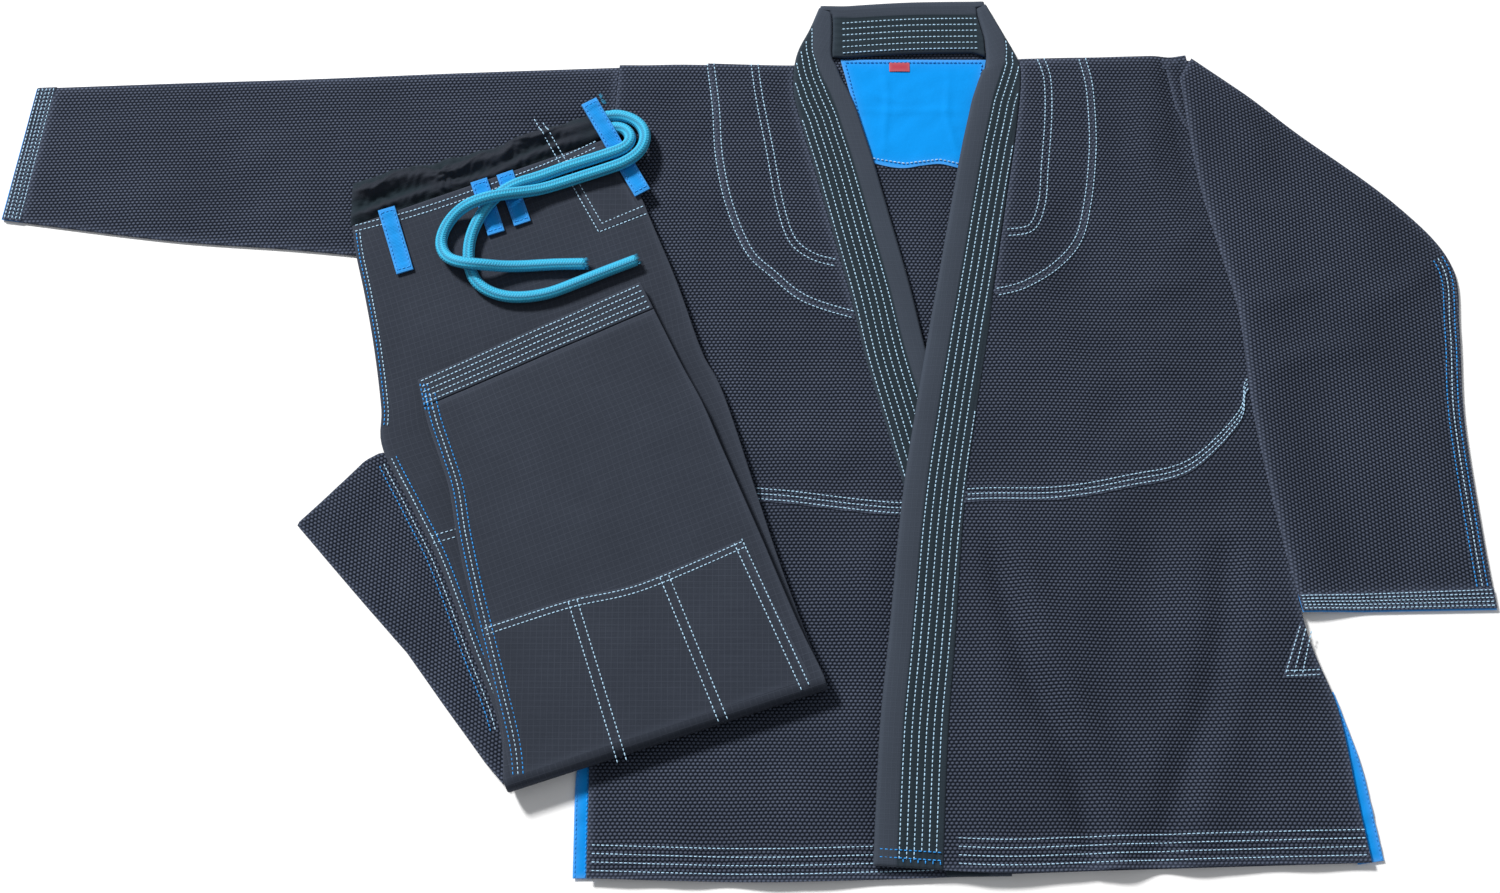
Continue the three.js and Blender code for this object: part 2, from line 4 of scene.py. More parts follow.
import bpy
import numpy as np
from bpy.props import FloatProperty, FloatVectorProperty, IntProperty, PointerProperty
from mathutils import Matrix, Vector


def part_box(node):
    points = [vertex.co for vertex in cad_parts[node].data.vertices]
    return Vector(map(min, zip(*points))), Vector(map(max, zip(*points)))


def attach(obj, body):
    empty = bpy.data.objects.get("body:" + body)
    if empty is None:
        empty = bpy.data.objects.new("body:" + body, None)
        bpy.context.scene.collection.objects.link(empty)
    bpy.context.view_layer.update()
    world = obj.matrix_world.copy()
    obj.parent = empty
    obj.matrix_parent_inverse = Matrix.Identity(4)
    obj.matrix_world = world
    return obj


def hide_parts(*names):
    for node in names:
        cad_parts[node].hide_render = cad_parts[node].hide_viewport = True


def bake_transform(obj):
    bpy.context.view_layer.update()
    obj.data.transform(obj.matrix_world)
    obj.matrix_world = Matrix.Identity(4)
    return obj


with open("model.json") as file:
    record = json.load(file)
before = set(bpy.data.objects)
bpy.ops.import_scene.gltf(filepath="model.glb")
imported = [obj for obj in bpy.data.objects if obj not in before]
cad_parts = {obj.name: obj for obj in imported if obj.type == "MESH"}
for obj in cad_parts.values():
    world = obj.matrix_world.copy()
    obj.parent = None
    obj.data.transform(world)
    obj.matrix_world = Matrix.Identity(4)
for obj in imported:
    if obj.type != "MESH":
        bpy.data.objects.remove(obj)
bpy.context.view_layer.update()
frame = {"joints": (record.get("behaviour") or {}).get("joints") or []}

bl_info = {
    "name": "Martial Arts Suit",
    "version": (1, 0, 0),
    "blender": (4, 5, 0),
    "location": "View3D > Sidebar > Suit",
    "description": "Sews a pearl-weave jacket and drawstring trousers round a fixed frame",
    "category": "Add Mesh",
}

MM = 0.001
DRAFT_TO_ROW = np.array([18.5, -27.5])  # from the cutting table's origin to the frame's, in mm


# Sizes and colours -----------------------------------------------------------------------------


def colour(name, description, hexcode):
    """A colour property whose default is given as the sRGB hex code of the finished cloth."""
    parts = [int(hexcode[i:i + 2], 16) / 255 for i in (0, 2, 4)]
    linear = [p / 12.92 if p <= 0.04045 else ((p + 0.055) / 1.055) ** 2.4 for p in parts]
    return FloatVectorProperty(name=name, description=description, subtype="COLOR", size=3,
                               min=0, max=1, default=linear)


def length(name, description, default):
    """A length property, given in millimetres and kept in metres."""
    return FloatProperty(name=name, description=description, unit="LENGTH", min=0,
                         default=default * MM, precision=5)


class SuitColours(bpy.types.PropertyGroup):
    """Colours of the cloths, threads and trims."""
    # The two weave colours are painted light: painted shade between the pearls and a painted
    # highlight on their tops.
    weave_shade_between_pearls: colour("Weave ground", "Between the pearls of the jacket's weave", "151a24")
    weave_pearl_highlight: colour("Weave pearl", "Tops of the pearls of the jacket's weave", "5d667a")
    ripstop: colour("Ripstop", "Trouser cloth", "2d323c")
    ripstop_line: colour("Ripstop line", "Raised grid in the trouser cloth", "424854")
    casing: colour("Casing", "Waistband casing", "262a32")
    lapel: colour("Lapel", "Collar and lapel cover", "39404b")
    blue: colour("Blue cotton", "Neck lining and vent tapes", "0092ea")
    webbing: colour("Webbing", "Belt loops", "078cdc")
    cord: colour("Cord", "Drawcord's plaits", "0fafda")
    # painted shade: the colour laid in the grooves between the cord's plaits
    cord_groove_shade: colour("Cord rib", "Drawcord's darker ribs", "0a7299")
    thread: colour("Pale thread", "Most of the top stitching", "bbe1fb")
    thread_blue: colour("Blue thread", "Top stitching at the openings and tacks", "3aa2f4")
    label: colour("Label", "Blank size label", "b43a4c")
    rubber: colour("Rubber", "Cores of the collar and lapels", "202224")
    floor: colour("Floor", "Backdrop", "fbfbfb")


class SuitSizes(bpy.types.PropertyGroup):
    """Sizes that change how the cloth and its stitching look."""
    pearl_across: length("Pearl pitch across", "From pearl to pearl along a row of the weave", 3.6)
    pearl_along: length("Pearl pitch along", "From row to row of the weave", 2.75)
    stitch_pitch: length("Stitch pitch", "From stitch to stitch", 3.6)
    stitch_length: length("Stitch length", "Length of thread that shows", 2.95)
    thread: length("Thread", "Thickness of the top stitching thread", 0.95)
    fold_height: length("Fold height", "Height of the soft folds in the jacket", 2.8)
    cord: length("Cord", "Diameter of the drawcord", 10)
    ripstop_grid: length("Ripstop grid", "Spacing of the raised grid of the trouser cloth", 5)
    cord_sides: IntProperty(name="Cord sides", description="Facets round the drawcord",
                            default=24, min=8, max=64)


def sizes():
    return bpy.context.scene.suit_sizes


def colours():
    return bpy.context.scene.suit_colours


# Lines on the cutting table, in millimetres ----------------------------------------------------


def spline(points, count=120):
    """A smooth line through points: on each span a cubic whose slope at a point is half the
    step between its neighbours."""
    p = np.array(points, float)
    padded = np.vstack([p[:1], p, p[-1:]])
    place = np.linspace(0, len(p) - 1, count)
    k = np.minimum(place.astype(int), len(p) - 2)
    t = (place - k)[:, None]
    p0, p1, p2, p3 = padded[k], padded[k + 1], padded[k + 2], padded[k + 3]
    v0, v1 = (p2 - p0) / 2, (p3 - p1) / 2
    return (2 * p1 - 2 * p2 + v0 + v1) * t**3 + (3 * p2 - 3 * p1 - 2 * v0 - v1) * t**2 + v0 * t + p1


def run_of(line):
    """Length from the line's start to each of its points."""
    return np.concatenate([[0], np.cumsum(np.linalg.norm(np.diff(line, axis=0), axis=1))])


def along(line, share):
    """Points at shares of a line's length; shares past its ends go straight on."""
    line = np.asarray(line, float)
    place = run_of(line)
    share = np.asarray(share, float)
    at = share * place[-1]
    inside = np.stack([np.interp(at, place, line[:, k]) for k in range(line.shape[1])], -1)
    ends = np.stack([line[0] - line[1], line[-1] - line[-2]])
    ends /= np.linalg.norm(ends, axis=1)[:, None]
    before = np.maximum(-at, 0)[..., None]
    after = np.maximum(at - place[-1], 0)[..., None]
    return inside + ends[0] * before + ends[1] * after


def stretch(line, start, end, count=80):
    """The part of a line between two shares of its length."""
    return along(line, np.linspace(start, end, count))


def beside(line, distance):
    """A line moved sideways, to the left of its run."""
    step = np.gradient(np.asarray(line, float), axis=0)
    step /= np.linalg.norm(step, axis=1)[:, None]
    return line + np.stack([-step[:, 1], step[:, 0]], -1) * distance


def soft(x):
    """0 below 0, 1 above 1, and a smooth step between."""
    x = np.clip(x, 0, 1)
    return x * x * (3 - 2 * x)


def bell(x):
    """A bell curve, 1 at 0."""
    return np.exp(-x * x)


def quarter(distance, edge):
    """A quarter circle's rise from 0 to 1 over an edge."""
    return np.sqrt(np.clip(1 - (1 - np.clip(distance / edge, 0, 1))**2, 0, 1))


def flat_at(level):
    """An even height over the table."""
    return lambda xy: level + 0 * xy[..., 0]


def distance_to(xy, line):
    """Distance from points to a line of straight spans, and the side: positive to its left."""
    best = np.full(xy.shape[:-1], 1e9)
    side = np.zeros(xy.shape[:-1])
    line = np.asarray(line, float)
    for a, b in zip(line[:-1], line[1:]):
        run = b - a
        t = np.clip(((xy - a) @ run) / (run @ run), 0, 1)
        off = xy - (a + t[..., None] * run)
        d = np.linalg.norm(off, axis=-1)
        turn = run[0] * off[..., 1] - run[1] * off[..., 0]
        side = np.where(d < best, np.sign(turn), side)
        best = np.minimum(best, d)
    return best, side


def folds(xy, run, spacing, seed, bend=0.5):
    """Soft folds between -1 and 1: three waves across the run of the folds, whose phase is bent
    by slow waves along it and whose height comes and goes."""
    rng = np.random.default_rng(seed)
    turn = rng.uniform(0, 2 * np.pi, 9)
    c, s = math.cos(math.radians(run)), math.sin(math.radians(run))
    far, wide = xy[..., 0] * c + xy[..., 1] * s, xy[..., 1] * c - xy[..., 0] * s
    total = 0
    for k, (share, weight) in enumerate(((1, 1), (0.63, 0.55), (1.83, 0.8))):
        sway = bend * spacing * np.sin(far / (spacing * (0.9 + 0.35 * k)) + turn[3 * k])
        swell = 0.7 + 0.3 * np.sin(far / (spacing * 0.7) + wide / (spacing * 1.1) + turn[3 * k + 1])
        total = total + weight * swell * np.sin(2 * np.pi * (wide + sway) / (spacing * share)
                                                + turn[3 * k + 2])
    return total / 2.35


def creases(xy, lines, width, height):
    """Raised creases along lines: the sum of bell curves of the distance to each, fading at
    the line's ends."""
    total = 0
    for line in lines:
        line = np.asarray(line, float)
        d, _ = distance_to(xy, line)
        middle = line.mean(0)
        reach = np.linalg.norm(line - middle, axis=1).max()
        fade = soft(1.25 - np.linalg.norm(xy - middle, axis=-1) / max(reach, 1) * 0.9)
        total = total + height * bell(d / width) * fade
    return total


def level(node):
    """Lowest and highest level of a CAD node, in millimetres."""
    low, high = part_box(node)
    return low.z / MM, high.z / MM


# Cut pieces ------------------------------------------------------------------------------------

RIM = np.array([0, 0.06, 0.28, 0.6, 1.0])


def shares(size, fine, edge):
    """Shares from 0 to 1 of a run or of a column of runs: close together over the edge's
    rounding at both ends and even between them."""
    size = np.atleast_1d(np.asarray(size, float))[:, None]
    rim = RIM * np.minimum(edge, 0.4 * size) / size
    count = max(int(round(size.max() / fine)), 2)
    inner = rim[:, -1:] + (1 - 2 * rim[:, -1:]) * np.linspace(0, 1, count + 1)[1:-1]
    return np.concatenate([rim, inner, 1 - rim[:, ::-1]], 1)


class Cut:
    """A cut piece with four sides, filled with a grid by the Coons rule: the two ruled surfaces
    between opposite sides, less the bilinear surface through the corners. Left and right run
    from the foot to the top; foot and top run from left to right and are straight if left out."""

    def __init__(self, left, right, foot=None, top=None, fine=(5, 5), edge=1.2):
        left, right = np.asarray(left, float), np.asarray(right, float)
        foot = np.stack([left[0], right[0]]) if foot is None else np.asarray(foot, float)
        top = np.stack([left[-1], right[-1]]) if top is None else np.asarray(top, float)
        self.length = (run_of(left)[-1] + run_of(right)[-1]) / 2
        v = shares(self.length, fine[1], edge)[0]
        wide = np.linalg.norm(along(right, v) - along(left, v), axis=1)
        wide = np.maximum(wide, 0.5)
        u = shares(wide, fine[0], edge)
        v = np.broadcast_to(v[:, None], u.shape)
        corner = (left[0] * ((1 - u) * (1 - v))[..., None] + right[0] * (u * (1 - v))[..., None]
                  + left[-1] * ((1 - u) * v)[..., None] + right[-1] * (u * v)[..., None])
        self.xy = (along(left, v) * (1 - u)[..., None] + along(right, v) * u[..., None]
                   + along(foot, u) * (1 - v)[..., None] + along(top, u) * v[..., None] - corner)
        self.u, self.v, self.edge = u, v, edge
        self.width = np.broadcast_to(wide[:, None], u.shape)
        self.across, self.up = u * self.width, v * self.length

    def swell(self):
        """0 at the edges, rising as a quarter circle to 1 over the rounding."""
        edge = np.minimum(self.edge, 0.4 * self.width)
        return (quarter(np.minimum(self.across, self.width - self.across), edge)
                * quarter(np.minimum(self.up, self.length - self.up),
                          min(self.edge, 0.4 * self.length)))

    def rim(self):
        """Distance to the nearest edge."""
        return np.minimum(np.minimum(self.across, self.width - self.across),
                          np.minimum(self.up, self.length - self.up))

    def size(self):
        """Greatest width, length and area, in metres."""
        a, b = self.xy[1:, 1:] - self.xy[:-1, :-1], self.xy[1:, :-1] - self.xy[:-1, 1:]
        area = abs((a[..., 0] * b[..., 1] - a[..., 1] * b[..., 0]).sum()) / 2
        return self.width.max() * MM, self.length * MM, area * MM * MM


def turned(xy, degrees):
    """Weave coordinates in metres: the table's plane turned to the grain."""
    c, s = math.cos(math.radians(degrees)), math.sin(math.radians(degrees))
    return np.stack([xy[..., 0] * c + xy[..., 1] * s, xy[..., 1] * c - xy[..., 0] * s], -1) * MM


def shell(upper, lower, weave, wear, sewn=None):
    """A closed skin from two grids that share their rim. Faces point outwards."""
    sewn = 0 * wear if sewn is None else sewn
    rows, columns = upper.shape[:2]
    top = np.arange(rows * columns).reshape(rows, columns)
    inner = np.full((rows, columns), -1)
    inside = (rows - 2, columns - 2)
    inner[1:-1, 1:-1] = rows * columns + np.arange(inside[0] * inside[1]).reshape(inside)
    under = np.where(inner < 0, top, inner)

    def quads(g):
        return np.stack([g[:-1, :-1], g[:-1, 1:], g[1:, 1:], g[1:, :-1]], -1).reshape(-1, 4)
    faces = np.concatenate([quads(top), quads(under)[:, ::-1]])
    ahead = upper[0, -1] - upper[0, 0]
    aside = upper[-1, 0] - upper[0, 0]
    thick = (upper - lower)[rows // 2, columns // 2]
    if np.dot(np.cross(ahead, aside), thick) < 0:
        faces = faces[:, ::-1]

    def both(a):
        return np.concatenate([a.reshape(rows * columns, -1),
                               a[1:-1, 1:-1].reshape((rows - 2) * (columns - 2), -1)])
    points = np.concatenate([upper.reshape(-1, 3), lower[1:-1, 1:-1].reshape(-1, 3)])
    return {"points": points, "faces": faces, "weave": both(weave),
            "wear": both(wear[..., None])[:, 0],
            "sewn": both(sewn[..., None])[:, 0]}


def ply(cut, high, low, grain=0.0, weave=None, sewn=None):
    """A cloth between two heights that are functions of the cut piece; at its edges both come
    together on a quarter round at mid height."""
    top, bottom = high(cut), low(cut)
    middle, swell = (top + bottom) / 2, cut.swell()
    upper = np.concatenate([cut.xy, (middle + (top - middle) * swell)[..., None]], -1)
    lower = np.concatenate([cut.xy, (middle + (bottom - middle) * swell)[..., None]], -1)
    if weave is None:
        weave = turned(cut.xy, grain)
    return shell(upper, lower, weave, np.exp(-cut.rim() / 2.5), sewn)


def between(low, high):
    """Two even heights."""
    return (lambda cut: high + 0 * cut.u), (lambda cut: low + 0 * cut.u)


def lying(height, thickness):
    """Two height functions for a cloth whose upper side is at height(xy)."""
    return (lambda cut: height(cut.xy)), (lambda cut: height(cut.xy) - thickness)


def draped(cut, high):
    """Height of a cloth's upper side at any place, read from its grid: the mean of the four
    nearest points, each weighted by one over its distance squared."""
    spots, levels = cut.xy[2:-2, 2:-2].reshape(-1, 2), high(cut)[2:-2, 2:-2].ravel()

    def height(xy):
        d = ((xy.reshape(-1, 1, 2) - spots)**2).sum(-1)
        near = np.argpartition(d, 4, 1)[:, :4]
        weight = 1 / (np.take_along_axis(d, near, 1) + 0.01)
        return ((levels[near] * weight).sum(1) / weight.sum(1)).reshape(xy.shape[:-1])
    return height


def band_weave(cut):
    """Weave coordinates that follow a band: along it and across it."""
    return np.stack([cut.up, cut.across], -1) * MM


# Objects ---------------------------------------------------------------------------------------


def joint(name):
    return next(j for j in frame["joints"] if j["name"] == name)


def fold_span(name, towards, width):
    """Start and end of the bend at a hinge, width apart, across its axis and towards the
    moving side."""
    hinge = joint(name)
    at, axis = np.array(hinge["pos_m"]), np.array(hinge["axis"])
    way = np.cross(axis, towards).astype(float)
    way /= np.linalg.norm(way)
    return tuple(at - way * width / 2), tuple(at + way * width / 2)


FRONT_BEND = ("jacket", "left_front", *fold_span("front_opens", (0, 0, -1), 0.05))
RIGHT_ELBOW = ("jacket", "right_forearm", *fold_span("right_sleeve_fold", (0, 0, -1), 0.04))
LEFT_ELBOW = ("jacket", "left_forearm", *fold_span("left_sleeve_fold", (0, 0, -1), 0.04))
KNEE = joint("legs_unfold")["pos_m"]
KNEE_BEND = ("trousers", "lower_legs", (KNEE[0], KNEE[1], level("left_thigh_front")[1] * MM
                                        + 0.00005),
             (KNEE[0], KNEE[1], level("left_shin_front")[0] * MM - 0.00005))


def on_row(points):
    """Points in the frame, in metres, from points on the cutting table."""
    return np.concatenate([points[:, :2] + DRAFT_TO_ROW, points[:, 2:]], 1) * MM


def placed(name, mesh):
    """The finished mesh as an object at the origin."""
    mesh.shade_smooth()
    mesh.update()
    piece = bpy.data.objects.new(name, mesh)
    bpy.context.scene.collection.objects.link(piece)
    return piece


def build(name, parts, cloth):
    """A piece from parts on the cutting table, with its weave map in metres, its wear near
    edges and the places where shade is painted in."""
    offset, faces = 0, []
    for part in parts:
        faces.append(part["faces"] + offset)
        offset += len(part["points"])
    faces = np.concatenate(faces)
    mesh = bpy.data.meshes.new(name)
    mesh.from_pydata(on_row(np.concatenate([p["points"] for p in parts])), [], faces)
    weave = np.concatenate([p["weave"] for p in parts])
    mesh.uv_layers.new(name="weave").data.foreach_set(
        "uv", weave[faces.ravel()].astype(np.float32).ravel())
    for mark in ("wear", "sewn"):
        values = np.concatenate([p.get(mark, 0 * p["wear"]) for p in parts])
        mesh.attributes.new(mark, "FLOAT", "POINT").data.foreach_set(
            "value", values.astype(np.float32))
    mesh.materials.append(finish(cloth))
    return placed(name, mesh)


def fit(piece, nodes, body=None, bend=None, slot=None):
    """The piece stands for its CAD nodes, which are hidden, and follows its body; given a bend, its
    transform is only baked in.
    """
    if bend:
        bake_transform(piece)
    else:
        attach(piece, body)
    if nodes:
        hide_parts(*nodes)
    return piece


def declare(cuts):
    """Works out the flat size and area of its cut pieces laid side by side, and keeps nothing."""
    measured = [cut.size() for cut in cuts]
    flat = (max(m[0] for m in measured), sum(m[1] for m in measured))
    area = sum(m[2] for m in measured)
    min(max(area, 0.301 * flat[0] * flat[1]), flat[0] * flat[1])


def lay(name, cut, heights, cloth, nodes, held=None, rests_on=None, grain=0.0, weave=None,
        sewn=None, **where):
    """One cloth between two heights: built and fitted to its CAD nodes; where held is given, its
    size is worked out."""
    piece = build(name, [ply(cut, *heights, grain, weave, sewn)], cloth)
    fit(piece, nodes, slot=cloth, **where)
    if held:
        declare([cut])
    return piece


# Stitches --------------------------------------------------------------------------------------

STITCH_SIDES = 5


def lifted(line, height):
    """A line on the table laid on a surface."""
    line = np.asarray(line, float)
    return np.concatenate([line, height(line)[:, None]], 1)


def straight(*points):
    """Straight spans, with points close enough to follow a surface."""
    p = np.asarray(points, float)
    total = run_of(p)[-1]
    return along(p, np.linspace(0, 1, max(int(total / 2), 2)))


def stitches(lines, seed=1):
    """Stitches set along lines in space. Each is a spindle: two rings of five points and two
    poles that dip into the cloth, along the line's own direction."""
    size = sizes()
    pitch, long, radius = size.stitch_pitch / MM, size.stitch_length / MM, size.thread / MM / 2
    centres, tangents = [], []
    for line in lines:
        total = run_of(line)[-1]
        count = max(int(total / pitch), 1)
        middle = (np.arange(count) + 0.5) / count
        half = 0.3 * long / total
        centres.append(along(line, middle))
        tangents.append(along(line, middle + half) - along(line, middle - half))
    centre, tangent = np.concatenate(centres), np.concatenate(tangents)
    rng = np.random.default_rng(seed)
    tangent /= np.linalg.norm(tangent, axis=1)[:, None]
    side = np.cross(tangent, (0, 0, 1))
    side += tangent * rng.normal(0, 0.04, (len(side), 1))
    side /= np.linalg.norm(side, axis=1)[:, None]
    tangent = np.cross((0, 0, 1), side)
    tangent /= np.linalg.norm(tangent, axis=1)[:, None]
    up = np.cross(side, tangent)
    angle = 2 * np.pi * np.arange(STITCH_SIDES) / STITCH_SIDES
    ring = np.stack([np.zeros_like(angle), np.cos(angle) * radius, np.sin(angle) * radius
                     + radius * 0.6], 1)
    spindle = np.concatenate([[[-long / 2, 0, -radius * 0.5]], ring - (long * 0.3, 0, 0),
                              ring + (long * 0.3, 0, 0), [[long / 2, 0, -radius * 0.5]]])
    spindle = spindle[None] * (rng.normal(1, 0.05, (len(centre), 1, 1)) * (1, 1, 1))
    points = (centre[:, None] + spindle[..., :1] * tangent[:, None]
              + spindle[..., 1:2] * side[:, None] + spindle[..., 2:] * up[:, None])
    k = np.arange(STITCH_SIDES)
    n = (k + 1) % STITCH_SIDES
    last = 2 * STITCH_SIDES + 1
    start = np.stack([np.zeros_like(k), 1 + n, 1 + k, 1 + k], 1)
    body = np.stack([1 + k, 1 + n, 1 + STITCH_SIDES + n, 1 + STITCH_SIDES + k], 1)
    end = np.stack([1 + STITCH_SIDES + k, 1 + STITCH_SIDES + n, np.full_like(k, last),
                    np.full_like(k, last)], 1)
    one = (start, body, end)
    return points, one


def sew(name, pale, blue=(), body=None, bend=None, slot=None, seed=1):
    """One piece of all the stitches of some seams: pale thread lines and blue thread lines."""
    points, triangles, quads, marks, base = [], [], [], [], 0
    for mark, lines in enumerate((pale, blue)):
        if not len(lines):
            continue
        spindles, (start, middle, end) = stitches(lines, seed + mark)
        count, each = spindles.shape[:2]
        shift = base + each * np.arange(count)[:, None, None]
        points.append(spindles.reshape(-1, 3))
        triangles.append((np.concatenate([start[:, :3], end[:, :3]])[None] + shift).reshape(-1, 3))
        quads.append((middle[None] + shift).reshape(-1, 4))
        marks.append((mark, len(triangles[-1]), len(quads[-1])))
        base += count * each
    faces = [*np.concatenate(triangles).tolist(), *np.concatenate(quads).tolist()]
    mesh = bpy.data.meshes.new(name)
    mesh.from_pydata(on_row(np.concatenate(points)), [], faces)
    mesh.materials.append(finish("pale_thread"))
    mesh.materials.append(finish("blue_thread"))
    index = np.concatenate([np.full(m[1], m[0]) for m in marks]
                           + [np.full(m[2], m[0]) for m in marks])
    mesh.polygons.foreach_set("material_index", index.astype(np.int32))
    return fit(placed(name, mesh), (), body=body, bend=bend, slot=slot)


# Materials -------------------------------------------------------------------------------------


class Value:
    """A number inside a material. Python's operators on it add Math nodes."""

    def __init__(self, graph, socket):
        self.graph, self.socket = graph, socket

    def math(self, operation, *others, clamp=False):
        node = self.graph.node("ShaderNodeMath", {"operation": operation, "use_clamp": clamp},
                               {0: self, **{i + 1: o for i, o in enumerate(others)}})
        return Value(self.graph, node.outputs[0])

    def __add__(self, other):
        return self.math("ADD", other)

    def __radd__(self, other):
        return self.math("ADD", other)

    def __sub__(self, other):
        return self.math("SUBTRACT", other)

    def __rsub__(self, other):
        return (self * -1).math("ADD", other)

    def __mul__(self, other):
        return self.math("MULTIPLY", other)

    def __rmul__(self, other):
        return self.math("MULTIPLY", other)

    def __truediv__(self, other):
        return self.math("DIVIDE", other)

    def fraction(self):
        return self.math("FRACT")

    def whole(self):
        return self.math("FLOOR")

    def wave(self):
        """0 to 1 and back once for each whole number."""
        return (self * (2 * math.pi)).math("SINE") * 0.5 + 0.5

    def clamped(self):
        return self.math("ADD", 0, clamp=True)

    def step(self, low, high):
        """A smooth step from 0 at low to 1 at high."""
        node = self.graph.node("ShaderNodeMapRange", {"interpolation_type": "SMOOTHSTEP"},
                               {"Value": self, "From Min": low, "From Max": high})
        return Value(self.graph, node.outputs[0])


class Graph:
    """The nodes of one material."""

    def __init__(self, name):
        self.material = bpy.data.materials.new(name + "_finish")
        self.material.use_nodes = True
        self.tree = self.material.node_tree
        self.tree.nodes.clear()

    def node(self, kind, settings=None, inputs=None):
        """Adds a node: its settings first, then the values or links of its sockets."""
        node = self.tree.nodes.new(kind)
        for key, value in (settings or {}).items():
            setattr(node, key, value)
        for key, value in (inputs or {}).items():
            socket = node.inputs[key]
            if isinstance(value, Value):
                self.tree.links.new(value.socket, socket)
            elif isinstance(value, bpy.types.NodeSocket):
                self.tree.links.new(value, socket)
            else:
                socket.default_value = value
        return node

    def weave(self):
        """The piece's own map in metres: two values."""
        uv = self.node("ShaderNodeUVMap", {"uv_map": "weave"})
        parts = self.node("ShaderNodeSeparateXYZ", None, {0: uv.outputs[0]})
        return Value(self, parts.outputs[0]), Value(self, parts.outputs[1]), uv.outputs[0]

    def mark(self, name):
        """The piece's own value: wear is 1 at its edges, and sewn is 1 where shade is painted in,
        between close rows of stitches and in the casing's valleys."""
        node = self.node("ShaderNodeAttribute", {"attribute_name": name})
        return Value(self, node.outputs["Fac"])

    def noise(self, where, scale, detail=2.0):
        node = self.node("ShaderNodeTexNoise", None, {
            "Vector": where, "Scale": scale, "Detail": detail, "Roughness": 0.5})
        return Value(self, node.outputs[0])

    def stretched(self, where, scale):
        """A vector with its axes scaled."""
        return self.node("ShaderNodeMapping", None, {"Vector": where, "Scale": scale}).outputs[0]

    def object_place(self):
        return self.node("ShaderNodeTexCoord").outputs["Object"]

    def mix(self, share, first, second):
        """Mixes two colours."""
        node = self.node("ShaderNodeMix", {"data_type": "RGBA", "blend_type": "MIX"},
                         {0: share, 6: rgba(first), 7: rgba(second)})
        return node.outputs[2]

    def bump(self, height, strength, distance, after=None):
        inputs = {"Height": height, "Strength": strength, "Distance": distance}
        if after is not None:
            inputs["Normal"] = after
        return self.node("ShaderNodeBump", None, inputs).outputs[0]

    def finish(self, base, roughness, normal=None, **constants):
        """The shader and the output. Constants go on the shader's own sockets."""
        inputs = {"Base Color": base, "Roughness": roughness}
        if normal is not None:
            inputs["Normal"] = normal
        for key, value in constants.items():
            inputs[key.replace("_", " ").title().replace("Ior", "IOR")] = value
        shader = self.node("ShaderNodeBsdfPrincipled", None, inputs)
        self.node("ShaderNodeOutputMaterial", None, {"Surface": shader.outputs[0]})
        return self.material


def rgba(value):
    """A colour property as a socket's default; a link stays as it is."""
    if isinstance(value, (bpy.types.NodeSocket, Value)):
        return value
    return (*value[:3], 1.0)


def scaled(value, share):
    """A colour made darker or lighter."""
    return tuple(min(c * share, 1) for c in value[:3])


def pearl_weave(name, ground, pearl):
    """Pearl weave: staggered rows of raised grains, height 1 - (x/a)^2 - (y/b)^2 in each cell,
    with rows that wander a little, uneven dye and paler worn edges. The grains' light and shade
    is painted in: a painted highlight on each grain's top and painted shade between the grains."""
    g = Graph(name)
    u, v, place = g.weave()
    drift = g.noise(place, 18.0, 2) - 0.5
    size = sizes()
    row = (v + drift * 0.0022) / size.pearl_along
    odd = (row.whole() * 0.5).fraction()
    column = (u + drift * 0.0015) / size.pearl_across + odd
    x, y = column.fraction() - 0.5, row.fraction() - 0.5
    grain = (1 - (x * x * 4.6 + y * y * 4.2)).clamped()
    uneven = g.noise(place, 420.0, 1)
    cloudy = g.noise(place, 9.0, 3)
    grain = grain * (uneven * 0.7 + 0.65)
    # painted highlight on the grain tops and painted shade between them
    tone = g.mix((grain * 1.1).clamped(), ground, pearl)
    tone = g.mix((cloudy - 0.5) * 0.55 + 0.28, tone, scaled(ground, 0.72))
    tone = g.mix(g.mark("wear") * 0.3, tone, scaled(pearl, 1.35))
    thread = g.noise(place, 2600.0, 1)
    lift = g.bump(grain + thread * 0.12, 0.85, 0.0011)
    return g.finish(tone, (0.95 - grain * 0.12).clamped(), lift,
                    specular_ior_level=0.08, sheen_weight=0.015, sheen_roughness=0.5)


PAINTED_SHADE = (0.011, 0.021, 0.027)  # painted shade: laid between close rows of stitches and in the casing's valleys


def ripstop(name, ground, line, grid, streaks=0.5):
    """Ripstop: fine plain weave with a raised thread each grid step both ways, streaked by
    uneven yarn."""
    g = Graph(name)
    u, v, place = g.weave()
    warp = ((u / grid).fraction() - 0.5).math("ABSOLUTE").step(0.40, 0.5)
    weft = ((v / grid).fraction() - 0.5).math("ABSOLUTE").step(0.40, 0.5)
    lines = warp.math("MAXIMUM", weft)
    yarn = g.noise(g.stretched(place, (40.0, 1100.0, 1.0)), 1.0, 2)
    slub = g.noise(g.stretched(place, (1100.0, 60.0, 1.0)), 1.0, 2)
    cloudy = g.noise(place, 14.0, 3)
    tone = g.mix((lines * 0.45 + (yarn - 0.5) * streaks + (slub - 0.5) * streaks * 0.6
                  + 0.2).clamped(), ground, line)
    tone = g.mix(((cloudy - 0.5) * 0.8 + 0.25).clamped(), tone, scaled(ground, 0.78))
    # painted shade where the sewn mask is set: between close rows of stitches and in the casing's
    # valleys
    tone = g.mix(g.mark("sewn") * 0.8, tone, PAINTED_SHADE)
    tone = g.mix(g.mark("wear") * 0.35, tone, scaled(line, 1.3))
    lift = g.bump(lines * 0.6 + yarn * 0.5 + slub * 0.5, 0.4, 0.0004)
    pucker = g.bump(g.noise(place, 60.0, 3), 0.25, 0.0012, lift)
    return g.finish(tone, (0.86 - lines * 0.05).clamped(), pucker,
                    specular_ior_level=0.1, sheen_weight=0.01, sheen_roughness=0.5)


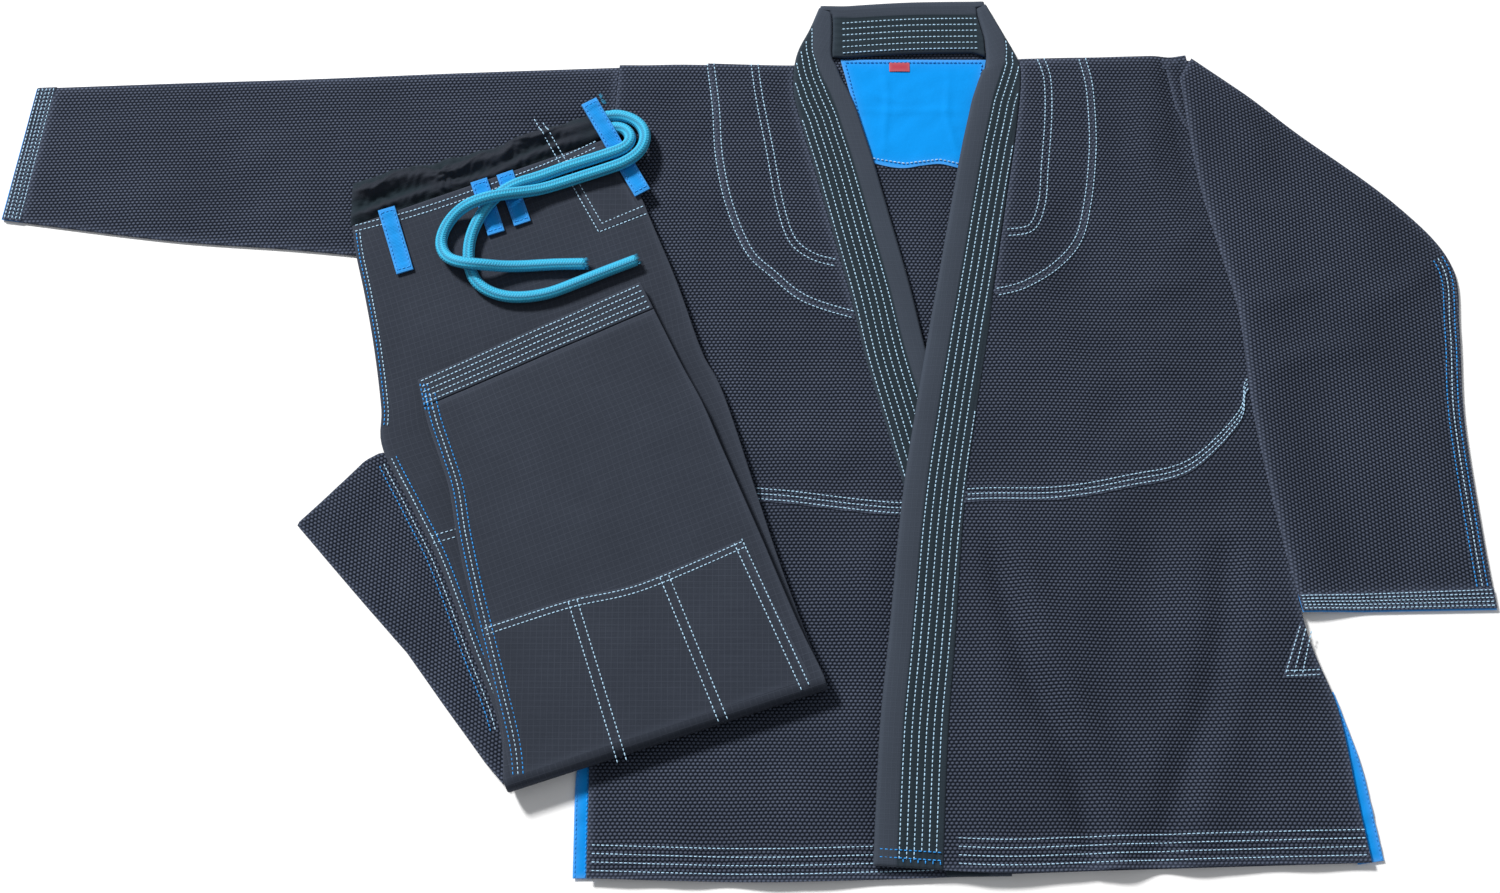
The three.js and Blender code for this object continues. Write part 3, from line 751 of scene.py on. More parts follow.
def cotton(name, base, twill=900.0):
    """Dyed cotton twill: fine diagonal ribs, cloudy dye, soft puckers and paler worn edges."""
    g = Graph(name)
    u, v, place = g.weave()
    ribs = ((u + v) * twill).wave()
    cloudy = g.noise(place, 30.0, 3)
    fuzz = g.noise(place, 900.0, 2)
    tone = g.mix((ribs * 0.35 + fuzz * 0.25).clamped(), base, scaled(base, 0.72))
    tone = g.mix(((cloudy - 0.45) * 0.9).clamped(), tone, scaled(base, 0.7))
    tone = g.mix(g.mark("wear") * 0.3, tone, tuple(0.7 * c + 0.25 for c in base))
    lift = g.bump(ribs * 0.6 + fuzz, 0.35, 0.0003)
    pucker = g.bump(g.noise(place, 55.0, 3), 0.3, 0.002, lift)
    return g.finish(tone, 0.82 - fuzz * 0.1, pucker, specular_ior_level=0.1, sheen_weight=0.01,
                    sheen_roughness=0.5)


def braid(name, base, groove_shade):
    """Round braid: plaits that lean one way and the other in alternate columns round the cord,
    V = sin of length plus or minus the place across the column, with painted shade in the grooves
    between the columns and a painted highlight on the plaits' crests."""
    g = Graph(name)
    u, v, place = g.weave()
    columns = v * 10
    side = ((columns.whole() * 0.5).fraction() * 4) - 1
    across = columns.fraction()
    plait = ((u * 420.0) + side * across * 0.5).wave()
    rounded = 1 - ((across - 0.5) * 2).math("POWER", 2)
    pair = ((v * 5).fraction() - 0.5).math("ABSOLUTE").step(0.18, 0.36)
    fuzz = g.noise(place, 700.0, 2)
    # painted shade darkens the grooves between columns and the sides of each rounded plait
    tone = g.mix((pair * 0.75 + (1 - rounded) * 0.25).clamped(), base, groove_shade)
    # painted highlight: the plaits' crests are lightened
    tone = g.mix((plait * 0.45 + fuzz * 0.2).clamped(), tone, tuple(0.85 * c + 0.1 for c in base))
    lift = g.bump(plait * 0.6 + rounded * 0.6 + fuzz * 0.3, 0.7, 0.0006)
    return g.finish(tone, 0.62 + fuzz * 0.15, lift, specular_ior_level=0.3, sheen_weight=0.03,
                    sheen_roughness=0.35)


def thread(name, base):
    """Spun thread: twisted plies as a fine wave and a little variation from stitch to stitch."""
    g = Graph(name)
    place = g.object_place()
    patch = g.noise(place, 220.0, 1)
    twist = g.noise(place, 2400.0, 1)
    tone = g.mix(((patch - 0.35) * 1.6).clamped(), base, scaled(base, 0.62))
    lift = g.bump(twist, 0.4, 0.0002)
    return g.finish(tone, 0.55 + patch * 0.2, lift, specular_ior_level=0.2, sheen_weight=0.02)


def webbing(name, base):
    """Ribbed webbing: fine cross ribs, soft creases and paler selvedges."""
    g = Graph(name)
    u, _, place = g.weave()
    ribs = (u * 800.0).wave()
    cloudy = g.noise(place, 70.0, 3)
    tone = g.mix(ribs * 0.35, base, scaled(base, 0.66))
    tone = g.mix(((cloudy - 0.42) * 1.5).clamped(), tone, scaled(base, 0.68))
    tone = g.mix(g.mark("wear") * 0.3, tone, tuple(0.75 * c + 0.16 for c in base))
    lift = g.bump(ribs, 0.35, 0.0003)
    crease = g.bump(g.noise(g.stretched(place, (160.0, 60.0, 1.0)), 1.0, 3), 0.5, 0.0016, lift)
    return g.finish(tone, 0.72, crease, specular_ior_level=0.15, sheen_weight=0.01)


def matte(name, base, scale):
    """Moulded rubber or floor: faint mottling and a fine surface."""
    g = Graph(name)
    place = g.object_place()
    mottle = g.noise(place, scale, 3)
    tone = g.mix(mottle * 0.2, base, scaled(base, 0.93))
    return g.finish(tone, 0.8 + mottle * 0.1, g.bump(mottle, 0.1, 0.0004), specular_ior_level=0.2)


FINISHES = {
    "pearl_weave": lambda: pearl_weave("pearl_weave", colours().weave_shade_between_pearls,
                                       colours().weave_pearl_highlight),
    "trouser_ripstop": lambda: ripstop("trouser_ripstop", colours().ripstop, colours().ripstop_line,
                                       sizes().ripstop_grid),
    "casing_cotton": lambda: ripstop("casing_cotton", colours().casing,
                                     scaled(colours().casing, 1.5), 0.0022),
    "lapel_ripstop": lambda: ripstop("lapel_ripstop", colours().lapel,
                                     scaled(colours().lapel, 1.35), 0.004, 0.35),
    "blue_cotton": lambda: cotton("blue_cotton", colours().blue),
    "loop_webbing": lambda: webbing("loop_webbing", colours().webbing),
    "drawcord": lambda: braid("drawcord", colours().cord, colours().cord_groove_shade),
    "pale_thread": lambda: thread("pale_thread", colours().thread),
    "blue_thread": lambda: thread("blue_thread", colours().thread_blue),
    "label": lambda: cotton("label", colours().label, 1400.0),
    "rubber_core": lambda: matte("rubber_core", colours().rubber, 90.0),
    "floor": lambda: matte("floor", colours().floor, 3.0),
}


MADE = {}


def finish(name):
    """The material of that name, made the first time that it is asked for."""
    if name not in MADE:
        MADE[name] = FINISHES[name]()
    return MADE[name]


# The stage -------------------------------------------------------------------------------------

CAMERA_PLACE = (0.0185, -0.4157, 1.4489)
CAMERA_TILT = 15  # degrees from straight down
CAMERA_LENS = 43.1
FLOOR_REACH = 6.0  # half the floor's side
FLOOR_POINTS = 25  # along a side
FLOOR_LEVEL = -0.0002
LAMPS = (  # place, target, size in metres, watts, tint
    ("key", (-3.1, 3.5, 4.4), (0.05, 0.0, 0), 1.0, 560, (1, 0.99, 0.975)),
    ("fill", (1.9, -0.9, 2.2), (0, 0, 0), 2.2, 6, (0.93, 0.96, 1)),
    ("top", (0.0, 0.1, 3.0), (0, 0, 0), 2.6, 6, (1, 1, 1)),
)
ROOM_LIGHT, ROOM_TINT = 0.24, (0.95, 0.97, 1, 1)


def lamp(name, place, target, size, power, tint):
    """A square soft light turned to a target."""
    data = bpy.data.lights.new(name, "AREA")
    data.size, data.energy, data.color = size, power, tint
    light = bpy.data.objects.new(name, data)
    way = np.subtract(target, place)
    light.location = place
    light.rotation_euler = (math.atan2(math.hypot(way[0], way[1]), -way[2]), 0,
                            math.atan2(way[1], way[0]) - math.pi / 2)
    bpy.context.scene.collection.objects.link(light)


class SUIT_OT_stage(bpy.types.Operator):
    """Set up the camera, the floor and the soft studio light"""
    bl_idname = "suit.stage"
    bl_label = "Stage"

    def execute(self, context):
        scene = context.scene
        data = bpy.data.cameras.new("camera")
        data.sensor_width, data.lens = 36, CAMERA_LENS
        camera = bpy.data.objects.new("camera", data)
        camera.location = CAMERA_PLACE
        camera.rotation_euler = (math.radians(CAMERA_TILT), 0, 0)
        scene.collection.objects.link(camera)
        scene.camera = camera
        across = np.linspace(-1, 1, FLOOR_POINTS) * FLOOR_REACH
        x, y = np.meshgrid(across, across)
        grid = np.stack([x, y, 0 * x + FLOOR_LEVEL], -1).reshape(-1, 3)
        k = np.arange(FLOOR_POINTS**2).reshape(FLOOR_POINTS, FLOOR_POINTS)
        quads = np.stack([k[:-1, :-1], k[:-1, 1:], k[1:, 1:], k[1:, :-1]], -1).reshape(-1, 4)
        mesh = bpy.data.meshes.new("floor")
        mesh.from_pydata(grid, [], quads)
        mesh.materials.append(finish("floor"))
        floor = bpy.data.objects.new("floor", mesh)
        scene.collection.objects.link(floor)
        for lamp_facts in LAMPS:
            lamp(*lamp_facts)
        world = bpy.data.worlds.new("studio")
        world.use_nodes = True
        background = world.node_tree.nodes["Background"]
        background.inputs[0].default_value = ROOM_TINT
        background.inputs[1].default_value = ROOM_LIGHT
        scene.world = world
        scene.view_settings.view_transform = "Standard"
        return {"FINISHED"}


# Drawcord --------------------------------------------------------------------------------------

CORD_A = [
    (-130.8, 280.2, 12), (-121, 284.2, 12), (-111, 283.6, 12.7), (-104.4, 276.5, 16.6),
    (-102.8, 267.5, 21.4),
    (-107.4, 258.8, 25.5), (-119.5, 254.3, 25), (-133, 249.8, 24), (-147, 245.5, 23.3),
    (-160, 241, 23.1),
    (-182, 232.5, 22.7), (-200, 226, 24), (-213, 217.5, 24.1), (-223, 207, 24.3), (-231, 194, 23.6),
    (-237, 179, 22.2), (-238.5, 163, 22.2), (-236, 147, 22.2), (-228, 134.5, 22.2),
    (-213, 126.5, 22.2),
    (-194, 124, 22.2), (-170, 127.5, 22.2), (-147, 136.5, 22.2), (-122, 147, 22.2),
    (-95, 158, 22.2),
]
CORD_B = [
    (-135.8, 290.1, 12), (-125, 294.8, 12), (-111.5, 295.2, 12.4), (-96.5, 287, 15),
    (-90.2, 272.5, 19.6),
    (-94.5, 256.5, 23.6), (-106.5, 246, 25), (-121, 240.3, 24.6), (-137, 235.3, 23.4),
    (-157, 228.5, 23.1),
    (-178, 221.5, 23.5), (-196, 216.5, 28), (-210, 212.5, 33), (-223, 209, 34.8), (-238, 204.5, 32),
    (-251, 197.5, 25), (-259.5, 186, 22.3), (-262.5, 172, 22.3), (-257, 159.5, 25.5),
    (-248, 153.5, 30),
    (-237, 150.5, 33), (-224, 150, 31), (-208, 150.5, 25.5), (-190, 152, 22.3), (-165, 153.5, 22.3),
    (-138, 154, 22.3),
]


def tube(line, radius, sides, round_off):
    """A closed tube: rings square to the line, radius(share, angle) out from it, closed at both
    ends by a fan to a pole. The map runs along the line in metres and once round it."""
    step = np.gradient(line, axis=0)
    step /= np.linalg.norm(step, axis=1)[:, None]
    side = np.cross(step, (0, 0, 1))
    side /= np.linalg.norm(side, axis=1)[:, None]
    up = np.cross(side, step)
    place = run_of(line)
    share = place / place[-1]
    angle = 2 * np.pi * np.arange(sides + 1) / sides
    out = (np.cos(angle)[None, :, None] * side[:, None] + np.sin(angle)[None, :, None]
           * up[:, None])
    near = np.minimum(place, place[-1] - place)
    taper = 0.35 + 0.65 * quarter(near, round_off)
    reach = radius(share[:, None], angle[None]) * taper[:, None]
    rings = line[:, None] + out * reach[..., None]
    rows, columns = rings.shape[0], sides
    k = np.arange(rows * columns).reshape(rows, columns)
    n = np.roll(k, -1, 1)
    quads = np.stack([k[:-1], k[1:], n[1:], n[:-1]], -1).reshape(-1, 4)
    poles = rows * columns + np.arange(2)
    caps = np.concatenate([np.stack([n[0], np.full(columns, poles[0]), k[0]], 1),
                           np.stack([k[-1], np.full(columns, poles[1]), n[-1]], 1)])
    points = np.concatenate([rings[:, :-1].reshape(-1, 3), line[:1], line[-1:]])
    return points, quads, caps, place, columns


def braided(name, line, radius, round_off=1.2):
    """A braided cord as an object, with a map whose seam is closed by giving each face its own
    corner values."""
    points, quads, caps, place, sides = tube(line, radius, sizes().cord_sides, round_off)
    mesh = bpy.data.meshes.new(name)
    mesh.from_pydata(on_row(points), [], [*quads[:, ::-1].tolist(), *caps[:, ::-1].tolist()])
    rows = len(place)
    column = np.arange(sides)
    low, high = place[:-1, None] * MM + 0 * column, place[1:, None] * MM + 0 * column
    here, there = (np.broadcast_to(share, (rows - 1, sides))
                   for share in (column / sides, (column + 1) / sides))
    corner = np.stack([np.stack([low, there], -1), np.stack([high, there], -1),
                       np.stack([high, here], -1), np.stack([low, here], -1)], -2).reshape(-1, 2)
    fan = np.stack([np.stack([column * 0, column / sides], -1),
                    np.stack([column * 0, (column + 0.5) / sides], -1),
                    np.stack([column * 0, (column + 1) / sides], -1)], 1)
    fans = np.concatenate([fan, fan[:, ::-1] + (place[-1] * MM, 0)]).reshape(-1, 2)
    mesh.uv_layers.new(name="weave").data.foreach_set(
        "uv", np.concatenate([corner, fans]).astype(np.float32).ravel())
    mesh.materials.append(finish("drawcord"))
    return placed(name, mesh)


def smoothed(line, passes):
    """A line whose points are moved towards the middle of their neighbours, ends held."""
    for _ in range(passes):
        line = np.concatenate([line[:1], (line[:-2] + 2 * line[1:-1] + line[2:]) / 4, line[-1:]])
    return line


def cord_line(points, spacing=2.0):
    """The cord's middle, evenly spaced."""
    line = spline(points, 1200)
    line = along(line, np.linspace(0, 1, int(run_of(line)[-1] / spacing)))
    return smoothed(line, 14)


def frayed(name, line, seed):
    """Loose fibres at a cut end: thin tapered spikes fanned out from the last ring."""
    rng = np.random.default_rng(seed)
    count, end = 34, line[-1]
    way = line[-1] - line[-4]
    way /= np.linalg.norm(way)
    side = np.cross(way, (0, 0, 1))
    side /= np.linalg.norm(side)
    up = np.cross(side, way)
    turn, ring = rng.uniform(0, 2 * np.pi,
                             count), rng.uniform(0.4, 0.98, count) * sizes().cord / MM / 2
    root = end - way * 1.5 + side * (np.cos(turn)
                                     * ring)[:, None] + up * (np.sin(turn) * ring)[:, None]
    lean = (way * rng.uniform(1.6, 4.2, count)[:, None]
            + side * (np.cos(turn) * rng.uniform(0, 1.3, count))[:, None]
            + up * (np.sin(turn) * rng.uniform(-0.4, 0.7, count))[:, None])
    angle = 2 * np.pi * np.arange(3) / 3
    ring = (np.cos(angle)[:, None] * side + np.sin(angle)[:, None] * up) * 0.32
    points = np.concatenate([root[:, None] + ring, (root + lean * 0.6)[:, None] + ring * 0.7,
                             (root + lean)[:, None]], 1)
    k = np.arange(3)
    n = (k + 1) % 3
    one = np.concatenate([np.stack([k, n, 3 + n], 1), np.stack([k, 3 + n, 3 + k], 1),
                          np.stack([3 + k, 3 + n, np.full(3, 6)], 1), [[0, 2, 1]]])
    faces = (one[None] + 7 * np.arange(count)[:, None, None]).reshape(-1, 3)
    part = {"points": points.reshape(-1, 3), "faces": faces,
            "weave": np.zeros((count * 7, 2)), "wear": np.ones(count * 7)}
    piece = build(name, [part], "drawcord")
    return fit(piece, (), body="trousers", slot="drawcord")


class SUIT_OT_drawcord(bpy.types.Operator):
    """Lay both free ends of the braided drawcord, each with a frayed tip"""
    bl_idname = "suit.drawcord"
    bl_label = "Drawcord"

    def execute(self, context):
        radius = sizes().cord / MM / 2
        for name, points, seed in (("drawcord_end_a", CORD_A, 5), ("drawcord_end_b", CORD_B, 6)):
            line = cord_line(points)
            piece = braided(name + "_braid", line, lambda share,
                            angle: radius * (1 + 0.018 * np.cos(10 * angle) + 0 * share))
            fit(piece, (name,), body="trousers", slot="drawcord")
            fray = frayed(name + "_fray", line, seed)
            path = on_row(line)
        return {"FINISHED"}


# Heights of the jacket's cloths ----------------------------------------------------------------

RIGHT_SHOULDER, LEFT_SHOULDER = (-115, 347), (385, 357)
NECK_RIGHT, NECK_LEFT = (35, 347), (241, 352)
RIGHT_SIDE = spline([(-130, 148), (-130, 0), (-128, -150), (-128, -351)])
LEFT_SIDE = spline([(425, 140), (430, 30), (440, -60), (449, -150), (470, -217), (480, -291),
                    (487, -339)])
CHEST_SEAM = spline([(-140, -34), (8, -44), (124, -56), (179, -46), (250, -44), (313, -33),
                     (365, -19),
                     (408, 22), (417, 50), (445, 62)], 240)
FRONT_TOP = level("right_chest")[1]
BACK_TOP = level("back_panel")[1]
FLAP_TOP = level("left_chest_flap")[1]
CLOTH = level("back_panel")[1]
TROUSERS_LOW = level("right_thigh_front")[0]
THIGH_TOP = level("left_thigh_front")[1]
SHIN_TOP = level("right_shin_front")[1]
PATCH = 0.8  # thickness of the reinforcing patches
PATCH_LIFT = 0.55  # their upper side above the cloth that they are sewn to

RIGHT_LAPEL_ROWS = np.array([
    (62, 404, 0.2), (53, 382, 0.42), (41, 356, 0.7), (38, 323, 0.9), (45, 289, 0.98), (57, 243, 1),
    (73, 180, 1), (86, 128, 1), (98, 72, 1), (116, 6, 1), (130, -50, 1), (141, -120, 1),
    (148, -200, 1), (152, -280, 1), (153, -350, 1)], float)
LEFT_LAPEL_ROWS = np.array([
    (209, 408, 0.18), (223, 380, 0.33), (235, 354, 0.58), (238, 338, 0.66), (235, 305, 0.8),
    (229, 265, 0.86), (222, 225, 0.88), (209, 147, 0.92), (202, 101, 0.96), (188, 22, 0.97),
    (176, -59, 1), (166, -163, 1.04), (158, -240, 1.06), (151, -345, 1.06)], float)
LAPEL_WIDTH = 52
LAPEL_SEAM = 11
TROUSER_RIGHT_EDGE = np.array([
    (-400, -300), (-190, -290), (62, -205), (24, -101), (-20, 36), (-40, 78), (-61, 138),
    (-80, 185),
    (-100, 232), (-124, 272), (-140, 300), (-400, 310)], float)


def lapel_line(rows, side, depth, count=145):
    """A line inside a lapel, depth(full width there) in from its sewn edge; side is 1 where the
    lapel lies to the left of its run."""
    line = spline(rows[:, :2], count)
    wide = np.interp(np.linspace(0, len(rows) - 1, count), np.arange(len(rows)),
                     rows[:, 2]) * LAPEL_WIDTH
    step = np.gradient(line, axis=0)
    step /= np.linalg.norm(step, axis=1)[:, None]
    return line + np.stack([-step[:, 1], step[:, 0]], -1) * (side * depth(wide))[:, None]


def x_on(line, y):
    """x of a falling or rising line at heights y."""
    order = np.argsort(line[:, 1])
    return np.interp(y, line[order, 1], line[order, 0])


RIGHT_SEWN = lapel_line(RIGHT_LAPEL_ROWS, 1, lambda w: 0 * w)
LEFT_SEWN = lapel_line(LEFT_LAPEL_ROWS, -1, lambda w: 0 * w)
LEFT_FOLDED = lapel_line(LEFT_LAPEL_ROWS, -1, lambda w: w)


def clear_of_trousers(xy):
    """0 under the trousers and 1 away from them."""
    return soft((xy[..., 0] - x_on(TROUSER_RIGHT_EDGE, xy[..., 1]) - 2) / 26)


def jacket_folds(xy):
    """Soft vertical folds, higher towards the hem and all but a little above the cloth's own
    level, so that they don't reach the cloth beneath."""
    lower = soft((60 - xy[..., 1]) / 260)
    waves = folds(xy, 86, 88, 11) * (0.3 + 0.7 * lower) + 0.35 * folds(xy, 55, 60, 12) * (1 - lower)
    return sizes().fold_height / MM * (waves + 0.25 + 0.55 * lower)


def right_front_height(xy):
    """The right front: its CAD level, with folds where neither the trousers nor the left front
    lie on it, held flat in the lapel's seam."""
    x, y = xy[..., 0], xy[..., 1]
    seam = soft((x_on(RIGHT_SEWN, y) - x - 4) / 30)
    under = soft((x_on(LEFT_FOLDED, y) - x + 6) / 30) * off_knee(xy, 8, 60)
    lump = creases(xy, [[(-100, 300), (-70, 250), (-62, 205)],
                        [(-40, -70), (-20, -160), (-8, -250)]], 16, 1.1)
    return FRONT_TOP + (jacket_folds(xy) + lump) * clear_of_trousers(xy) * seam * under


def left_lapel_base(y):
    """Underside of the left lapel: it comes down to the collar's level behind the neck."""
    low = level("left_lapel_cover")[0]
    return low - (low - level("collar_back_cover")[0]) * soft((y - 285) / 115)


VALLEY = [(186, -52), (206, -120), (222, -185), (245, -235), (258, -270), (268, -330)]
SECOND_VALLEY = [(392, -90), (385, -150), (368, -215), (345, -270), (322, -332)]


def left_front_height(xy):
    """The left front: from the lapel's middle level it eases down to the front's own level, with
    a valley from the chest seam to the hem and soft folds."""
    x, y = xy[..., 0], xy[..., 1]
    d = x - x_on(LEFT_SEWN, y)
    reach = 75 + 115 * soft((330 - y) / 560)
    lift = (left_lapel_base(y) + (FLAP_TOP - level("left_lapel_cover")[0])
            - FRONT_TOP) * (1 - soft(d / reach))
    free = soft((d - 2) / 30) * (1 - 0.6 * soft((x - 395) / 30) * soft((y + 150) / 60))
    valley, side = distance_to(xy, VALLEY)
    below = soft((-46 - y) / 60)
    dip = (-6.2 * bell(valley / 12) + 3.2 * bell((valley - 23) / 14) * (side > 0)
           + 1.4 * bell((valley - 26) / 18) * (side < 0))
    second, _ = distance_to(xy, SECOND_VALLEY)
    dip = dip - 4.2 * bell(second / 13) + 2.2 * bell((second - 26) / 16)
    pull = creases(xy, [[(395, 200), (372, 180), (352, 172)], [(392, 150), (360, 140), (335, 142)],
                        [(345, 300), (350, 240), (372, 190)], [(318, 100), (345, 70), (385, 60)]],
                   9, 1.6)
    pull = pull - creases(xy, [[(328, 330), (322, 250), (330, 160)],
                               [(300, 60), (330, 20), (345, -20)],
                               [(330, -80), (322, -160), (338, -260)],
                               [(400, -120), (408, -200), (398, -300)]], 13, 1.6)
    tucked = -4.6 * bell((x - x_on(LEFT_SLEEVE_FOOT, y) + 6) / 11) * soft((y - 185) / 90)
    return FRONT_TOP + lift + (jacket_folds(xy) * 0.9 + pull + dip * below + tucked) * free


def sewn(name, lines, height, blue=(), **where):
    """Stitches on a surface, from lines on the table."""
    sew(name, [lifted(line, height) for line in lines], [lifted(line, height) for line in blue],
        **where)


def double_row(points, gap):
    """Two rows of stitches side by side."""
    line = spline(points, 160)
    return [beside(line, gap / 2), beside(line, -gap / 2)]


class SUIT_OT_jacket_back(bpy.types.Operator):
    """Lay the jacket's back with its seam tapes"""
    bl_idname = "suit.jacket_back"
    bl_label = "Jacket back"

    def execute(self, context):
        neck = [RIGHT_SHOULDER, NECK_RIGHT, (60, 360), (140, 364), (220, 360), NECK_LEFT,
                LEFT_SHOULDER]
        left = np.vstack([RIGHT_SIDE[::-1], [RIGHT_SHOULDER]])
        right = np.vstack([LEFT_SIDE[::-1], [LEFT_SHOULDER]])
        foot = spline([(-128, -351), (80, -351), (280, -345), (487, -339)])
        back = Cut(left, right, foot, neck, fine=(7, 7))
        lay("back_cloth", back, lying(flat_at(BACK_TOP), CLOTH), "pearl_weave", ("back_panel",),
            "laid", "floor", body="jacket")
        strips = [("right_side", RIGHT_SIDE[RIGHT_SIDE[:, 1] > -150][::-1], -1, -11),
                  ("left_side", LEFT_SIDE[LEFT_SIDE[:, 1] > -150][::-1], 1, 11),
                  ("right_shoulder", straight((-108, 339), (30, 339)), 5, -5),
                  ("left_shoulder", straight((252, 345), (372, 349)), 5, -5)]
        for seam, line, near, far in strips:
            node = f"{seam}_seam_tape"
            low, high = level(node)
            strip = Cut(beside(line, near), beside(line, far), fine=(4, 9), edge=0.7)
            lay(f"{seam}_seam_allowance", strip, between(low, high), "pearl_weave", (node,),
                weave=band_weave(strip), body="jacket")
        return {"FINISHED"}


class SUIT_OT_neck(bpy.types.Operator):
    """Lay the blue neck lining with its creases and stitching, and the blank red label"""
    bl_idname = "suit.neck"
    bl_label = "Neck lining"

    def execute(self, context):
        low, high = level("neck_lining")
        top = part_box("neck_lining")[1].y / MM - DRAFT_TO_ROW[1]

        def height(xy):
            crease = creases(xy, [[(82, 306), (120, 303), (160, 305), (198, 302)],
                                  [(118, 348), (121, 320), (116, 262)],
                                  [(176, 345), (172, 300), (181, 262)],
                                  [(95, 330), (110, 318), (140, 312)]], 2.6, 0.7)
            return high + crease + 0.35 * folds(xy, 20, 26, 31)
        foot = spline([(104, 256), (120, 251.5), (135, 250), (150, 252.5), (165, 254), (178, 251),
                       (190, 248)])
        lining = Cut([(104, 256), (80, top)], [(190, 248), (209, top)], foot, fine=(3, 3), edge=0.6)
        lay("neck_lining_cloth", lining, lying(height, high - low), "blue_cotton",
            ("neck_lining",), "laid", "back_cloth", body="jacket")
        low, high = level("size_label")
        (left, foot), (right, head) = (np.array(corner[:2]) / MM - DRAFT_TO_ROW
                                       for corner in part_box("size_label"))
        label = Cut([(left, foot), (left, head)], [(right, foot), (right, head)], fine=(1.5, 1.5),
                    edge=0.3)
        curled = (lambda c: high + 0.5 * np.sin(c.u * 3.1) * (1 - c.v)), between(low, high)[1]
        lay("blank_label", label, curled, "label", ("size_label",), body="jacket")
        hem = beside(straight((106, 258), (135, 253), (165, 257), (189, 251)), 1)
        sewn("neck_lining_stitches", [hem],
             height, blue=[straight((84, top - 3), (205, top - 3)),
                           straight((104, 262), (84, top - 4)),
                           straight((189, 254), (205, top - 4))], body="jacket", slot="blue_cotton")
        return {"FINISHED"}


class SUIT_OT_vents(bpy.types.Operator):
    """Set the blue tapes into the side slits"""
    bl_idname = "suit.vents"
    bl_label = "Vent tapes"

    def execute(self, context):
        for side, line, turn, node in (("right", RIGHT_SIDE, 1, "right_vent_tape"),
                                       ("left", LEFT_SIDE, -1, "left_vent_tape")):
            low, high = level(node)
            line = line[line[:, 1] < -205][::-1]
            reach = (2.5 + 8.5 * soft((-205 - line[:, 1]) / 80))[:, None]
            inner, outer = beside(line, -turn * 10), beside(line, turn * reach)
            left, right = (outer, inner) if turn > 0 else (inner, outer)

            def height(xy):
                return high + 0.45 * folds(xy, 5, 23, 41) + 0.25 * folds(xy, 30, 14, 42)
            tape = Cut(left, right, fine=(2.5, 3), edge=0.6)
            lay(f"{side}_vent_cloth", tape, lying(height, high - low), "blue_cotton", (node,),
                "laid", "back_cloth", weave=band_weave(tape), body="jacket")
            sewn(f"{side}_vent_stitches", [], height, blue=[beside(line, turn * (reach - 1.6)),
                                                            beside(line, turn * 1.2)],
                 body="jacket", slot="blue_cotton")
        return {"FINISHED"}


CHEST_LAP = 5  # the chest's lower edge laps over the skirt
SEAM_ROWS = (2.5, 6.8, 11.2)
HEM_ROWS = (6, 12.5, 19, 25.5)


def seam_part(start_x, end_x, shift):
    """The chest seam between two places across, moved up or down."""
    line = CHEST_SEAM[(CHEST_SEAM[:, 0] > start_x) & (CHEST_SEAM[:, 0] < end_x)]
    return np.vstack([along_x(start_x), line, along_x(end_x)]) + (0, shift)


def along_x(x):
    return np.array([[x, np.interp(x, CHEST_SEAM[:, 0], CHEST_SEAM[:, 1])]])


def crossing(line, seam):
    """Share of a line's length at which it crosses the chest seam."""
    share = np.linspace(0, 1, 800)
    p = along(line, share)
    over = p[:, 1] - np.interp(p[:, 0], seam[:, 0], seam[:, 1])
    k = np.nonzero(np.diff(np.sign(over)))[0][0]
    return (share[k] + share[k + 1]) / 2


def chest_lap(height):
    """The chest over the skirt: raised a little near the seam."""
    def lapped(xy):
        above = xy[..., 1] - np.interp(xy[..., 0], CHEST_SEAM[:, 0], CHEST_SEAM[:, 1])
        return height(xy) + 1.15 * (1 - soft((above - 4) / 16))
    return lapped


